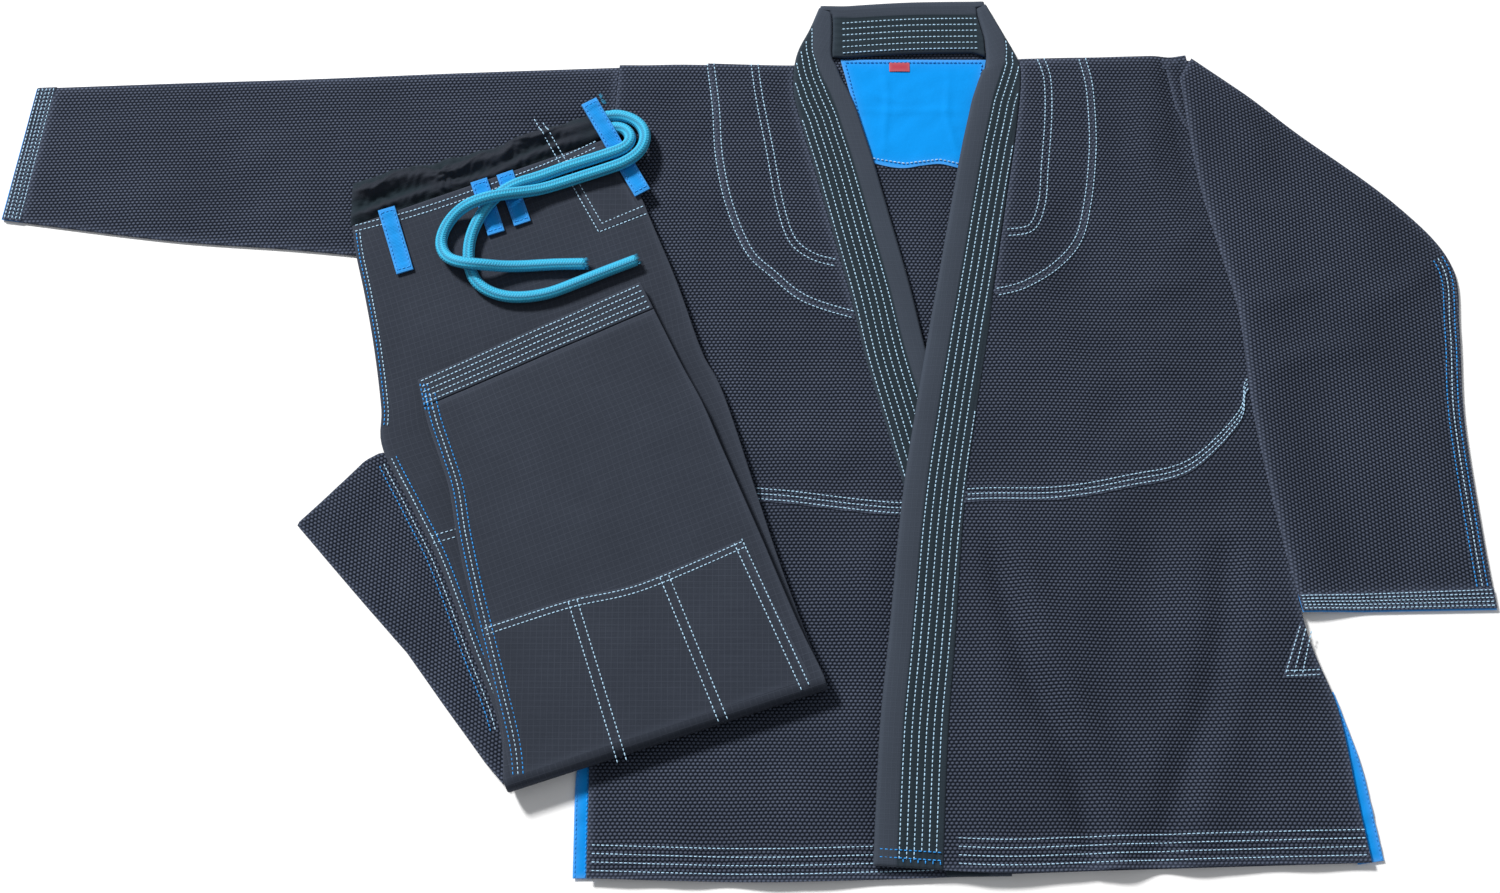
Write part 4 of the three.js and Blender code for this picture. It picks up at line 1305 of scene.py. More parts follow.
class SUIT_OT_right_front(bpy.types.Operator):
    """Lay the right front's chest over its skirt, with the seam, hem and chest patch"""
    bl_idname = "suit.right_front"
    bl_label = "Right front"

    def execute(self, context):
        seam_edge = lapel_line(RIGHT_LAPEL_ROWS, 1, lambda w: np.minimum(LAPEL_SEAM, w * 0.4 - 0.3))
        seam_edge = seam_edge[seam_edge[:, 1] < 347]
        at_left = crossing(RIGHT_SIDE, CHEST_SEAM)
        at_right = crossing(seam_edge, CHEST_SEAM)
        side_up, lapel_up = stretch(RIGHT_SIDE, at_left, 0), stretch(seam_edge, at_right, 0)
        top = np.array([RIGHT_SHOULDER, lapel_up[-1]])
        seam = seam_part(side_up[0][0], lapel_up[0][0], 0)
        chest = Cut(np.vstack([side_up[:1] - (0, CHEST_LAP), side_up, [RIGHT_SHOULDER]]),
                    np.vstack([lapel_up[:1] - (0, CHEST_LAP), lapel_up]), seam - (0, CHEST_LAP),
                    top)
        height = chest_lap(right_front_height)
        lay("right_chest_cloth", chest, lying(height, CLOTH), "pearl_weave", ("right_chest",),
            "laid", "back_cloth", body="jacket")
        side_down, lapel_down = stretch(RIGHT_SIDE, 1, at_left), stretch(seam_edge, 1, at_right)
        hem = spline([tuple(side_down[0]), (0, -354), (100, -352), tuple(lapel_down[0])])
        skirt = Cut(side_down, lapel_down, hem, seam)
        lay("right_skirt_cloth", skirt, lying(right_front_height, CLOTH), "pearl_weave",
            ("right_skirt",), "laid", "back_cloth", body="jacket")
        start = seam_part(-128, lapel_down[-1][0] - 12, 0)
        rows = [start + (0, rise - CHEST_LAP) for rise in SEAM_ROWS]
        sewn("right_chest_seam_stitches", rows, height, body="jacket", slot="pearl_weave")
        hems = [hem + (0, rise) for rise in HEM_ROWS]
        sewn("right_hem_stitches", [h[(h[:, 0] > -126) & (h[:, 0] < 146)] for h in hems],
             right_front_height,
             body="jacket", slot="pearl_weave")
        outer = [(-37, 348), (-32, 305), (-29, 259), (-20, 214), (-3, 171), (18, 149), (46, 126),
                 (87, 112)]
        inner = [(4, 348), (8, 316), (17, 266), (26, 214), (36, 182), (53, 167), (73, 161)]
        thick = level("right_chest_patch")[1] - level("right_chest_patch")[0]

        def patch_height(xy):
            return right_front_height(xy) + PATCH_LIFT
        edge_line = lapel_line(RIGHT_LAPEL_ROWS, 1, lambda w: 0 * w - 0.3)
        inside = edge_line[(edge_line[:, 1] < 346) & (edge_line[:, 1] > 110)]
        patch = Cut(spline(outer)[::-1], inside[::-1], fine=(4, 4), edge=0.6)
        lay("right_chest_patch_cloth", patch, lying(patch_height, thick), "pearl_weave",
            ("right_chest_patch",), "laid", "right_chest_cloth", body="jacket")
        sewn("right_chest_patch_stitches", [beside(line, 2.2) for line in double_row(outer, 6)]
             + double_row(inner, 6),
             patch_height, body="jacket", slot="pearl_weave")
        vent = Cut([(-127, -195), (-122, -150)], [(-98, -195), (-120, -149)], fine=(4, 4), edge=0.5)
        lay("right_vent_patch_cloth", vent, between(*level("right_vent_patch")), "pearl_weave",
            ("right_vent_patch",), "laid", "right_skirt_cloth", body="jacket")
        return {"FINISHED"}


class SUIT_OT_left_front(bpy.types.Operator):
    """Lay the left front across the right one, with its seam, hem and patches"""
    bl_idname = "suit.left_front"
    bl_label = "Left front"

    def execute(self, context):
        seam_edge = lapel_line(LEFT_LAPEL_ROWS, -1, lambda w: np.minimum(LAPEL_SEAM, w * 0.4 - 0.3))
        seam_edge = seam_edge[seam_edge[:, 1] < 352]
        at_lapel, at_side = crossing(seam_edge, CHEST_SEAM), crossing(LEFT_SIDE, CHEST_SEAM)
        lapel_up, side_up = stretch(seam_edge, at_lapel, 0), stretch(LEFT_SIDE, at_side, 0)
        lap = np.array((0, CHEST_LAP))
        top = np.array([lapel_up[-1], NECK_LEFT, LEFT_SHOULDER])
        seam = seam_part(lapel_up[0][0], side_up[0][0], 0)
        chest = Cut(np.vstack([lapel_up[:1] - lap, lapel_up]),
                    np.vstack([side_up[:1] - lap, side_up, [LEFT_SHOULDER]]), seam - lap, top)
        height = chest_lap(left_front_height)
        lay("left_chest_cloth", chest, lying(height, CLOTH), "pearl_weave",
            ("left_chest_flap", "left_chest_side"), "laid", "right_chest_cloth", bend=FRONT_BEND)
        lapel_down, side_down = stretch(seam_edge, 1, at_lapel), stretch(LEFT_SIDE, 1, at_side)
        hem = spline([tuple(lapel_down[0]), (200, -347), (290, -344), (400, -341),
                      tuple(side_down[0])])
        skirt = Cut(lapel_down, side_down, hem, seam)
        lay("left_skirt_cloth", skirt, lying(left_front_height, CLOTH), "pearl_weave",
            ("left_skirt_flap", "left_skirt_side"), "laid", "right_skirt_cloth", bend=FRONT_BEND)
        rows = [seam_part(seam[0][0] + 12, 418, 0) + (0, rise - CHEST_LAP) for rise in SEAM_ROWS]
        sewn("left_chest_seam_stitches", rows, height, bend=FRONT_BEND, slot="pearl_weave")
        hems = [hem + (0, rise) for rise in HEM_ROWS]
        sewn("left_hem_stitches", [h[(h[:, 0] > 162) & (h[:, 0] < 484)] for h in hems],
             left_front_height,
             bend=FRONT_BEND, slot="pearl_weave")
        outer = [(210, 130), (234, 137), (262, 155), (283, 180), (293, 214), (299, 254), (301, 285),
                 (300, 326), (295, 353)]
        inner = [(220, 186), (241, 191), (251, 214), (255, 248), (260, 293), (261, 331), (256, 352)]

        def patch_height(xy):
            return left_front_height(xy) + PATCH_LIFT
        inside = LEFT_SEWN[(LEFT_SEWN[:, 1] < 349) & (LEFT_SEWN[:, 1] > 128)] + (0.3, 0)
        patch = Cut(inside[::-1], spline(outer), fine=(4, 4), edge=0.6)
        lay("left_chest_patch_cloth", patch, lying(patch_height, PATCH), "pearl_weave",
            ("left_chest_patch_flap", "left_chest_patch_side"), "laid", "left_chest_cloth",
            bend=FRONT_BEND)
        sewn("left_chest_patch_stitches", [beside(line, 2.2) for line in double_row(outer, 6)]
             + double_row(inner, 6),
             patch_height, bend=FRONT_BEND, slot="pearl_weave")
        vent = Cut([(427, -195), (444.6, -150)], [(460, -193), (447.4, -150)], fine=(3, 3),
                   edge=0.5)
        lay("left_vent_patch_cloth", vent, lying(patch_height, PATCH), "pearl_weave",
            ("left_vent_patch",), "laid", "left_skirt_cloth", body="jacket")
        rows = [straight((445 + k * 4.5, -152 - k * 2), (430 + k * 7, -191)) for k in range(3)]
        base = [straight((430, -189 - 4 * k), (459, -187.5 - 4 * k)) for k in range(2)]
        sewn("left_vent_patch_stitches", base + rows, patch_height, body="jacket",
             slot="pearl_weave")
        return {"FINISHED"}


# Lapels and collar -----------------------------------------------------------------------------

LAPEL_STITCH_ROWS = np.array([3.2, 9.0, 14.8, 20.6, 26.4, 32.2])
LAPEL_RUN = 755  # length of a lapel


def lapel_relief(across, width):
    """Upper side of a lapel: shallow furrows at the rows of stitches, the cloth swelling between
    them, and a full plain roll towards the folded edge."""
    across, width = across + LAPEL_WIDTH - width, LAPEL_WIDTH
    furrow = sum(bell((across - row) / 1.1) for row in LAPEL_STITCH_ROWS)
    last = LAPEL_STITCH_ROWS[-1]
    roll = np.sin(np.pi * np.clip((across - last) / np.maximum(width - last, 1), 0, 1)) * 0.8
    return roll - 0.45 * furrow - 0.7 * soft(1 - across / 12)


def lapel_band(name, cut, base, thick, nodes, **where):
    """The closed cover of a lapel over its core."""
    heights = (lambda c: base(c.xy[..., 1]) + thick + lapel_relief(c.across, c.width),
               lambda c: base(c.xy[..., 1]) + 0 * c.u)
    last = LAPEL_STITCH_ROWS[-1] + 2.5
    # painted shade over the stitched part of the band, between its rows of stitches
    rows = soft((last - cut.across - LAPEL_WIDTH + cut.width) / 1.5)
    piece = lay(name, cut, heights, "lapel_ripstop", nodes, weave=band_weave(cut), sewn=rows,
                **where)


def lapel_rows(rows, side, base, thick, upto):
    """Lines for the lapel's rows of stitches, each kept where the lapel is wide enough for it."""
    lines = []
    for row in LAPEL_STITCH_ROWS:
        line = lapel_line(rows, side, lambda w, row=row: np.maximum(w - (LAPEL_WIDTH - row), 0))
        wide = np.interp(np.linspace(0, len(rows) - 1, len(line)), np.arange(len(rows)),
                         rows[:, 2]) * LAPEL_WIDTH
        keep = (wide - (LAPEL_WIDTH - row) > 1.6) & (line[:, 1] > upto)
        line = line[keep]
        z = base(line[:, 1]) + thick - 0.45 - 0.7 * soft(1 - row / 12) + 0.1
        lines.append(np.concatenate([line, z[:, None]], 1))
    return lines


class SUIT_OT_lapels(bpy.types.Operator):
    """Roll the lapels and the collar, with their six rows of stitches and the foot's tacks"""
    bl_idname = "suit.lapels"
    bl_label = "Lapels and collar"

    def execute(self, context):
        low, high = level("right_lapel_cover")
        thick = high - low
        right = Cut(RIGHT_SEWN[1:][::-1], lapel_line(RIGHT_LAPEL_ROWS, 1, lambda w: w)[1:][::-1],
                    fine=(1.2, 5), edge=2.6)

        def right_base(y):
            return low + 0 * y
        lapel_band("right_lapel_band", right, right_base, thick, ("right_lapel_cover",),
                   body="jacket")
        sew("right_lapel_stitches", lapel_rows(RIGHT_LAPEL_ROWS, 1, right_base, thick, -345),
            body="jacket",
            slot="lapel_ripstop")
        left = Cut(LEFT_SEWN[1:][::-1], LEFT_FOLDED[1:][::-1], fine=(1.2, 5), edge=2.6)
        lapel_band("left_lapel_band", left, left_lapel_base, thick,
                   ("left_lapel_cover", "left_collar_cover"), bend=FRONT_BEND)
        tacks = [(along(LEFT_SEWN, 1 - rise / LAPEL_RUN), along(LEFT_FOLDED, 1 - rise / LAPEL_RUN))
                 for rise in (7, 13)]
        flat = flat_at(level("left_lapel_cover")[0] + thick + 0.15)
        across = [straight(a + (b - a) * 0.04, a + (b - a) * 0.93) for a, b in tacks]
        a, b = tacks[0]
        ends = [straight(*(a + (b - a) * share + (0, rise) for rise in (-5, 1)))
                for share in LAPEL_STITCH_ROWS / 55]
        sew("left_lapel_stitches", lapel_rows(LEFT_LAPEL_ROWS, -1, left_lapel_base, thick, -338),
            [lifted(line, flat) for line in across + ends], bend=FRONT_BEND, slot="lapel_ripstop")
        low, high = level("collar_back_cover")
        head = spline([(79, 404), (140, 408), (204, 409)])
        foot = head - (0, 50)
        inner = lapel_line(RIGHT_LAPEL_ROWS, 1, lambda w: w)
        corners = ([(69.5, 398.6), (61.6, 399.4), (62.9, 404.8)],
                   [(201.6, 401.8), (209.2, 403.4), (208.3, 409.2)])
        ends = [np.vstack([line[(line[:, 1] > 354) & (line[:, 1] < 395)][::-1] + (shift, 0),
                           corner])
                for line, shift, corner in zip((inner, LEFT_FOLDED), (0.2, -0.2), corners)]
        collar = Cut(np.vstack([ends[0][:1], foot[8:-8], ends[1][:1]]),
                     np.vstack([ends[0][-1:], head[8:-8], ends[1][-1:]]), ends[0], ends[1],
                     fine=(1.2, 5), edge=2.6)
        lapel_band("collar_back_band", collar, lambda y: low + 0 * y, high - low,
                   ("collar_back_cover",), body="jacket")
        rows = [head[4:-4] - (0, 50 - row) for row in LAPEL_STITCH_ROWS]
        sewn("collar_back_stitches", rows, flat_at(high - 0.35), body="jacket",
             slot="lapel_ripstop")
        near, far = (lambda w: np.minimum(12.5, w * 0.45)), (lambda w: w - np.minimum(3, w * 0.2))
        self.core("right_lapel_filling", lapel_line(RIGHT_LAPEL_ROWS, 1, near),
                  lapel_line(RIGHT_LAPEL_ROWS, 1, far), right_base, ("right_lapel_core",),
                  body="jacket")
        self.core("left_lapel_filling", lapel_line(LEFT_LAPEL_ROWS, -1, near),
                  lapel_line(LEFT_LAPEL_ROWS, -1, far), left_lapel_base,
                  ("left_lapel_core", "left_collar_core"), bend=FRONT_BEND)
        self.core("collar_back_filling", (head - (0, 38))[8:-8][::-1],
                  (head - (0, 3.5))[8:-8][::-1], lambda y: low + 0 * y, ("collar_back_core",),
                  body="jacket")
        return {"FINISHED"}

    def core(self, name, near, far, base, nodes, **where):
        """The soft filling inside a cover: a strip that leaves the cover's cloth round it."""
        strip = Cut(near[3:-3][::-1], far[3:-3][::-1], fine=(6, 8), edge=1.2)
        heights = (lambda c: base(c.xy[..., 1]) + 3.9), (lambda c: base(c.xy[..., 1]) + 1.3)
        lay(name, strip, heights, "rubber_core", nodes, **where)


# Sleeves ---------------------------------------------------------------------------------------

RIGHT_SLEEVE_TOP = spline([(-115.3, 346), (-250, 341), (-385, 335), (-500, 331), (-627, 326)])
RIGHT_SLEEVE_FOOT = spline([(-130.3, 148), (-250, 160), (-385, 174), (-500, 183), (-645, 202)])
LEFT_SLEEVE_TOP = spline([(389, 352), (480, 281), (560, 214), (601, 160), (602, 100), (598, 22),
                          (603, -78), (608, -137)])
LEFT_SLEEVE_FOOT = spline([(378, 333), (388, 238), (403, 168), (412, 130), (416, 100), (421, 22),
                           (436, -78), (448, -140)])
CUFF = 17


def right_sleeve_rise(xy):
    """Soft folds that run along the right sleeve, flat under the trousers."""
    under = 1 - soft((xy[..., 0] + 362) / -20)
    free = 1 - soft(1 - np.abs(xy[..., 0] + 235) / 150) * soft((300 - xy[..., 1]) / 60)
    waves = 0.8 + folds(xy, -3, 75, 51) + 0.5 * folds(xy, 20, 50, 52)
    return 1.2 * waves * np.maximum(free, 0) * (0.3 + 0.7 * (1 - under * (xy[..., 1] < 300)))


def left_sleeve_sag(xy):
    """How far the left sleeve comes down outside the body."""
    return 5.6 * soft((xy[..., 0] - x_on(LEFT_SIDE, np.minimum(xy[..., 1], 139)) - 4) / 55)


def left_sleeve_rise(xy):
    """Folds of the left sleeve: creases from the shoulder and the elbow, and soft lengthwise
    waves."""
    y = xy[..., 1]
    waves = 1.0 + folds(xy, -78, 70, 61) + 0.5 * folds(xy, -48, 60, 62) * soft((y - 60) / 100)
    pulls = creases(xy, [[(398, 330), (430, 290), (455, 240)], [(405, 240), (430, 215), (470, 200)],
                         [(420, 120), (450, 128), (500, 150)], [(428, 60), (470, 80), (530, 88)],
                         [(590, 165), (560, 140), (520, 120)]], 11, 2.0)
    cuff = soft((y + 138) / 40)
    return (1.25 * waves + pulls) * (0.25 + 0.75 * cuff)


def sleeve(side, top, foot, nodes, cuff_node, rise, sag, bend, forearm, grain, stitch_seed):
    """A sleeve of two plies and its cuff: a band of two lips with five rows of stitches and a
    blue facing inside."""
    long = run_of(top)[-1]
    band = CUFF / long
    low, high = level(nodes[0])[0], level(nodes[1])[1]
    body = Cut(stretch(foot, 0, 1 - band + 0.004), stretch(top, 0, 1 - band + 0.004), edge=1.2)
    pinch = lambda c: np.exp(-np.minimum(c.across, c.width - c.across) / 5.0)
    upper_high = lambda c: (high + (rise(c.xy) - sag(c.xy)) * (1 - pinch(c))
                            - sag(c.xy) * pinch(c) - 0.6 * pinch(c))
    lay(f"{side}_sleeve_upper_ply", body, (upper_high, lambda c: upper_high(c) - CLOTH),
        "pearl_weave", (nodes[1], nodes[3]), "laid", f"{side}_sleeve_under_ply", grain, bend=bend)
    under_low = lambda c: np.maximum(low - sag(c.xy), 0.05)
    under_high = lambda c: under_low(c) + CLOTH
    lay(f"{side}_sleeve_under_ply", body, (under_high, under_low), "pearl_weave",
        (nodes[0], nodes[2]), "laid", "back_cloth", grain, bend=bend)
    lips = Cut(stretch(foot, 1 - band, 1), stretch(top, 1 - band, 1), fine=(3, 2), edge=1.0)
    top_lip = lambda c: high + 0.25 + (rise(c.xy) * 0.5 - sag(c.xy))
    hem = build(f"{side}_cuff_lips", [
        ply(lips, top_lip, lambda c: top_lip(c) - CLOTH - 0.1, grain, band_weave(lips)[..., ::-1]),
        ply(lips, under_high, under_low, grain, band_weave(lips)[..., ::-1])], "pearl_weave")
    fit(hem, (cuff_node,), body=forearm, slot="pearl_weave")
    declare([lips, lips])
    lining = Cut(stretch(foot, 1 - band, 1 + 1.4 / long), stretch(top, 1 - band, 1 + 1.4 / long),
                 fine=(4, 3), edge=0.3)
    facing = (lambda c: under_high(c) + 0.45), (lambda c: under_high(c) + 0.05)
    lay(f"{side}_cuff_facing", lining, facing, "blue_cotton", (), "laid",
        f"{side}_sleeve_under_ply", body=forearm)
    surface = lambda xy: high + 0.3 + rise(xy) * 0.5 - sag(xy)
    rows = []
    for row in (2.2, 5.4, 8.6, 11.8, 15.0):
        a, b = along(foot, 1 - row / long), along(top, 1 - row / long)
        rows.append(straight(a + (b - a) * 0.008, b + (a - b) * 0.008))
    sewn(f"{side}_cuff_stitches", rows, surface, body=forearm, slot="pearl_weave", seed=stitch_seed)


class SUIT_OT_sleeves(bpy.types.Operator):
    """Lay both sleeves with their cuffs and the rows of stitches along the left one"""
    bl_idname = "suit.sleeves"
    bl_label = "Sleeves"

    def execute(self, context):
        none = lambda xy: 0 * xy[..., 0]
        sleeve("right", RIGHT_SLEEVE_TOP, RIGHT_SLEEVE_FOOT,
               ("right_upper_sleeve_under", "right_upper_sleeve_top", "right_forearm_under",
                "right_forearm_top"),
               "right_cuff_band", right_sleeve_rise, none, RIGHT_ELBOW, "right_forearm", 2, 71)
        sleeve("left", LEFT_SLEEVE_TOP, LEFT_SLEEVE_FOOT,
               ("left_upper_sleeve_under", "left_upper_sleeve_top", "left_forearm_under",
                "left_forearm_top"),
               "left_cuff_band", left_sleeve_rise, left_sleeve_sag, LEFT_ELBOW, "left_forearm", -32,
               72)
        tuck = Cut([(394, 262), (374, 305), (366, 353)], [(400, 262), (398, 305), (394, 352.5)],
                   fine=(3, 3), edge=0.7)
        lay("left_shoulder_tuck", tuck, lying(flat_at(FRONT_TOP - 2.6), CLOTH), "pearl_weave", (),
            "laid", "back_cloth", body="jacket")
        high = level("left_forearm_top")[1]

        def surface(xy):
            d, _ = distance_to(xy, LEFT_SLEEVE_TOP[::4])
            pinch = np.exp(-d / 5.0)
            return high - left_sleeve_sag(xy) + left_sleeve_rise(xy) * (1 - pinch) - 0.6 * pinch
        outer = LEFT_SLEEVE_TOP[LEFT_SLEEVE_TOP[:, 1] < 172]
        outer = outer[outer[:, 1] > -122]
        rows = [beside(outer, -d) for d in (4.5, 9.0, 13.5)]
        sewn("left_sleeve_seam_stitches", [rows[1]], surface, blue=[rows[0], rows[2]],
             bend=LEFT_ELBOW,
             slot="pearl_weave", seed=73)
        return {"FINISHED"}


# Trousers --------------------------------------------------------------------------------------

THIGH_LEFT = spline([(-340, 191), (-335, 164), (-326, 129), (-316, 84), (-307, 30), (-304, -5),
                     (-276, -58),
                     (-253, -102), (-225, -170), (-200, -231), (-190, -286)])
THIGH_RIGHT = spline([(-124, 272), (-100, 232), (-80, 185), (-61, 138), (-40, 78), (-20, 36),
                      (24, -101), (62, -205)])
CASING_FOOT = [(-343, 193), (-290, 208), (-240, 226), (-180, 250), (-129, 275)]
CASING_TOP = [(-343, 233), (-300, 247), (-250, 258), (-190, 280), (-140, 297)]
SHIN_LEFT = spline([(-188, -284), (-192, -250), (-207, -195), (-224, -135), (-237, -84),
                    (-245, -44), (-255, -15),
                    (-266, 15), (-275, 50)])
SHIN_RIGHT = spline([(60, -202), (45, -168), (28, -128), (11, -87), (-7, -45), (-25, -3), (-39, 30),
                     (-60, 70), (-92, 136)])
KNEE_LINE = np.array([(-190, -286), (62, -205)], float)
TROUSER_HEM = 24


def trouser_sag(xy):
    """How far the trousers' lowest cloths come down beyond the jacket's edge."""
    out = soft((-132 - xy[..., 0]) / 45) * soft((112 - xy[..., 1]) / 60)
    return (TROUSERS_LOW - 0.6) * out * off_knee(xy, 12, 60)


THIGH_FOLD = 1.4  # what the gaps between the four cloths of the thighs leave room for
SHIN_FOLD = 1.7
LEG_EDGE = 1.1  # rounding at the edges of the legs' cloths


def thigh_rise(xy):
    """Soft folds of the thigh, all below its CAD level: pulls from the gathered casing and
    creases at the hip."""
    x, y = xy[..., 0], xy[..., 1]
    shade = 0.7 * folds(xy, 72, 46, 81) + 0.4 * folds(xy, 110, 70, 82)
    top, _ = distance_to(xy, CASING_FOOT)
    pulls = 0.9 * folds(xy, 78, 17, 83, 0.2) * np.exp(-top / 26)
    cords = soft(np.hypot((x + 185) / 105, (y - 200) / 100) - 0.6)
    return -THIGH_FOLD / 2 * (1 - np.clip((shade * cords + pulls) * soft((top - 1) / 6), -1, 1))


def shin_rise(xy):
    """Gentle unevenness of the folded lower legs, all above their CAD level."""
    waves = np.clip(0.8 * folds(xy, 110, 90, 91) + 0.4 * folds(xy, 20, 55, 92), -1, 1)
    return SHIN_FOLD / 2 * (1 + waves) * off_knee(xy)


def off_knee(xy, start=8, over=50):
    """0 at the knee fold and 1 away from it."""
    return soft((distance_to(xy, KNEE_LINE)[0] - start) / over)


OUTER_BEND = (level("right_shin_front")[1] - level("right_thigh_front")[0]) / 2


def leg_ply(name, thigh, shin, order):
    """One cloth of a leg: ruled rows down the thigh, a half circle round the knee fold and ruled
    rows up the shin. Height steps off the middle surface along its own upright."""
    thigh_mid, shin_mid = sum(level(thigh)) / 2, sum(level(shin)) / 2
    half = (level(thigh)[1] - level(thigh)[0]) / 2
    radius, centre = (shin_mid - thigh_mid) / 2, (shin_mid + thigh_mid) / 2
    way = KNEE_LINE[1] - KNEE_LINE[0]
    way /= np.linalg.norm(way)
    out = np.array([way[1], -way[0]])
    base = KNEE_LINE - out * OUTER_BEND

    def eased(line, goal, share):
        ease = soft(1 - share * run_of(line)[-1] / 60)[..., None]
        return along(line, share) * (1 - ease) + (goal + along(line, share) - line[0]) * ease

    down_left, down_right = THIGH_LEFT[::-1], THIGH_RIGHT[::-1]
    hem = TROUSER_HEM / run_of(SHIN_LEFT)[-1]
    t_thigh = np.concatenate([1 - RIM[:4] * 0.004, np.linspace(0.995, 0, 84)])
    t_bend = np.linspace(0, np.pi, 12)[1:-1]
    t_shin = np.concatenate([np.linspace(0, 1 - hem - 0.004, 62), 1 - hem - 0.004
                             + RIM[1:4] * 0.004])
    left = np.concatenate([eased(down_left, base[0], t_thigh),
                           base[:1] + out * (radius * np.sin(t_bend))[:, None],
                           eased(SHIN_LEFT, base[0], t_shin)])
    right = np.concatenate([eased(down_right, base[1], t_thigh),
                            base[1:] + out * (radius * np.sin(t_bend))[:, None],
                            eased(SHIN_RIGHT, base[1], t_shin)])
    angle = np.concatenate([0 * t_thigh, t_bend, 0 * t_shin + np.pi])
    wide = np.linalg.norm(right - left, axis=1)
    u = shares(wide, 5.5, 1.1)
    xy = left[:, None] * (1 - u)[..., None] + right[:, None] * u[..., None]
    on_thigh, on_shin = (angle < 0.01)[:, None], (angle > 3.1)[:, None]
    lift = np.where(on_thigh, thigh_rise(xy) * order / 3 * off_knee(xy)
                    - trouser_sag(xy) * (1 - order / 4),
                    0) + np.where(on_shin, shin_rise(xy) * (1 - 0.22 * order), 0)
    z = centre - radius * np.cos(angle)[:, None] + lift
    middle = np.concatenate([xy, z[..., None]], -1)
    upright = np.stack([out[0] * np.sin(angle), out[1] * np.sin(angle), -np.cos(angle)],
                       -1)[:, None]
    path = run_of(np.concatenate([(left + right) / 2, (centre - radius * np.cos(angle))[:, None]],
                                 1))
    edge = np.minimum(u, 1 - u) * wide[:, None]
    ends = np.minimum(path, path[-1] - path)[:, None]

    swell = (quarter(edge, LEG_EDGE) * quarter(ends, LEG_EDGE))[..., None] * half
    weave = np.stack([(u - 0.5) * wide[:, None], np.broadcast_to(path[:, None], u.shape)], -1) * MM
    part = shell(middle + upright * swell, middle - upright * swell, weave,
                 np.exp(-np.minimum(edge, ends) / 2.5))
    piece = build(name, [part], "trouser_ripstop")
    fit(piece, (thigh, shin), bend=KNEE_BEND, slot="trouser_ripstop")


def thigh_height(xy):
    """Upper side of the top cloth of the thighs."""
    return THIGH_TOP + thigh_rise(xy) * off_knee(xy) - trouser_sag(xy) / 4


def shin_height(xy):
    """Upper side of the top cloth of the shins."""
    return SHIN_TOP + shin_rise(xy)


class SUIT_OT_legs(bpy.types.Operator):
    """Fold the four cloths of the legs up at the knees, with their hems, patches and stitching"""
    bl_idname = "suit.legs"
    bl_label = "Trouser legs"

    def execute(self, context):
        for order, leg in enumerate(("right_front", "right_back", "left_back", "left_front")):
            side, face = leg.split("_")
            leg_ply(f"{side}_leg_{face}", f"{side}_thigh_{face}", f"{side}_shin_{face}", order)
        hem = TROUSER_HEM / run_of(SHIN_LEFT)[-1]
        for side, share in (("left", 0), ("right", 1)):
            name, node = f"{side}_trouser_hem_band", f"{side}_trouser_hem"
            low, high = level(node)
            band = Cut(stretch(SHIN_LEFT, 1 - hem, 1), stretch(SHIN_RIGHT, 1 - hem, 1), fine=(4, 2),
                       edge=1.1)
            rise = lambda c: shin_rise(c.xy) * (0.4 + 0.6 * share)
            weave = band_weave(band)[..., ::-1]
            piece = build(name, [
                ply(band, lambda c: high + 0.25 + rise(c), lambda c: high - 2 + rise(c),
                    weave=weave),
                ply(band, lambda c: low + 2 + rise(c) * 0.5, lambda c: low + rise(c) * 0.5,
                    weave=weave)], "trouser_ripstop")
            fit(piece, (node,), body="lower_legs", slot="trouser_ripstop")
            declare([band, band])
        top = lambda xy: shin_height(xy) + 0.28
        long = run_of(SHIN_LEFT)[-1]
        rows = []
        for row in (2.6, 7.4, 12.2, 17.0, 21.8):
            a, b = along(SHIN_LEFT, 1 - row / long), along(SHIN_RIGHT, 1 - row / long)
            rows.append(straight(a + (b - a) * 0.01, b + (a - b) * 0.01))
        sewn("trouser_hem_stitches", rows, top, body="lower_legs", slot="trouser_ripstop", seed=101)
        edge = spline([(-213, -156), (-146, -134), (-88, -120), (-7, -85)])
        foot = KNEE_LINE - 9 * np.array([0.306, -0.952])
        knee = Cut(np.vstack([[foot[0] + (6, 2)], [edge[0] + (3, 0)]]),
                   np.vstack([[foot[1] + (-10, -1)], edge[-1:]]),
                   None, edge, fine=(5, 5), edge=0.7)
        high = lambda xy: shin_height(xy) + PATCH_LIFT * off_knee(xy, 8, 10)
        lay("knee_patch_cloth", knee, lying(high, PATCH), "trouser_ripstop",
            ("right_knee_patch",), "laid", "right_leg_front", body="lower_legs")
        pairs = [beside(edge, -2.2), beside(edge, -7.2)]
        for a, b in (((-142, -134), (-100, -262)), ((-69, -114), (-21, -230))):
            pairs += [straight((a[0] - 3.5, a[1] - 2), (b[0] - 3.5, b[1] - 2)),
                      straight((a[0] + 3.5, a[1]), (b[0] + 3.5, b[1]))]
        pairs += [straight((-13, -88), (41, -207)), straight((-7, -84), (47, -203))]
        side = stretch(SHIN_LEFT, 0.03, 1 - 0.6 * hem)
        seams = [beside(side, -d) for d in (3.6, 7.6, 11.6)]
        corner = along(SHIN_LEFT, 1)
        tack = [straight(corner + (2 + 3 * k, -3), corner + (8 + 3 * k, -27)) for k in range(3)]
        bare = lambda xy: shin_height(xy) + 0.05
        sew("shin_stitches", [lifted(line, high) for line in pairs] + [lifted(seams[1], bare)],
            [lifted(line, bare) for line in (seams[0], seams[2])]
            + [lifted(line, top) for line in tack],
            body="lower_legs", slot="trouser_ripstop", seed=102)
        return {"FINISHED"}


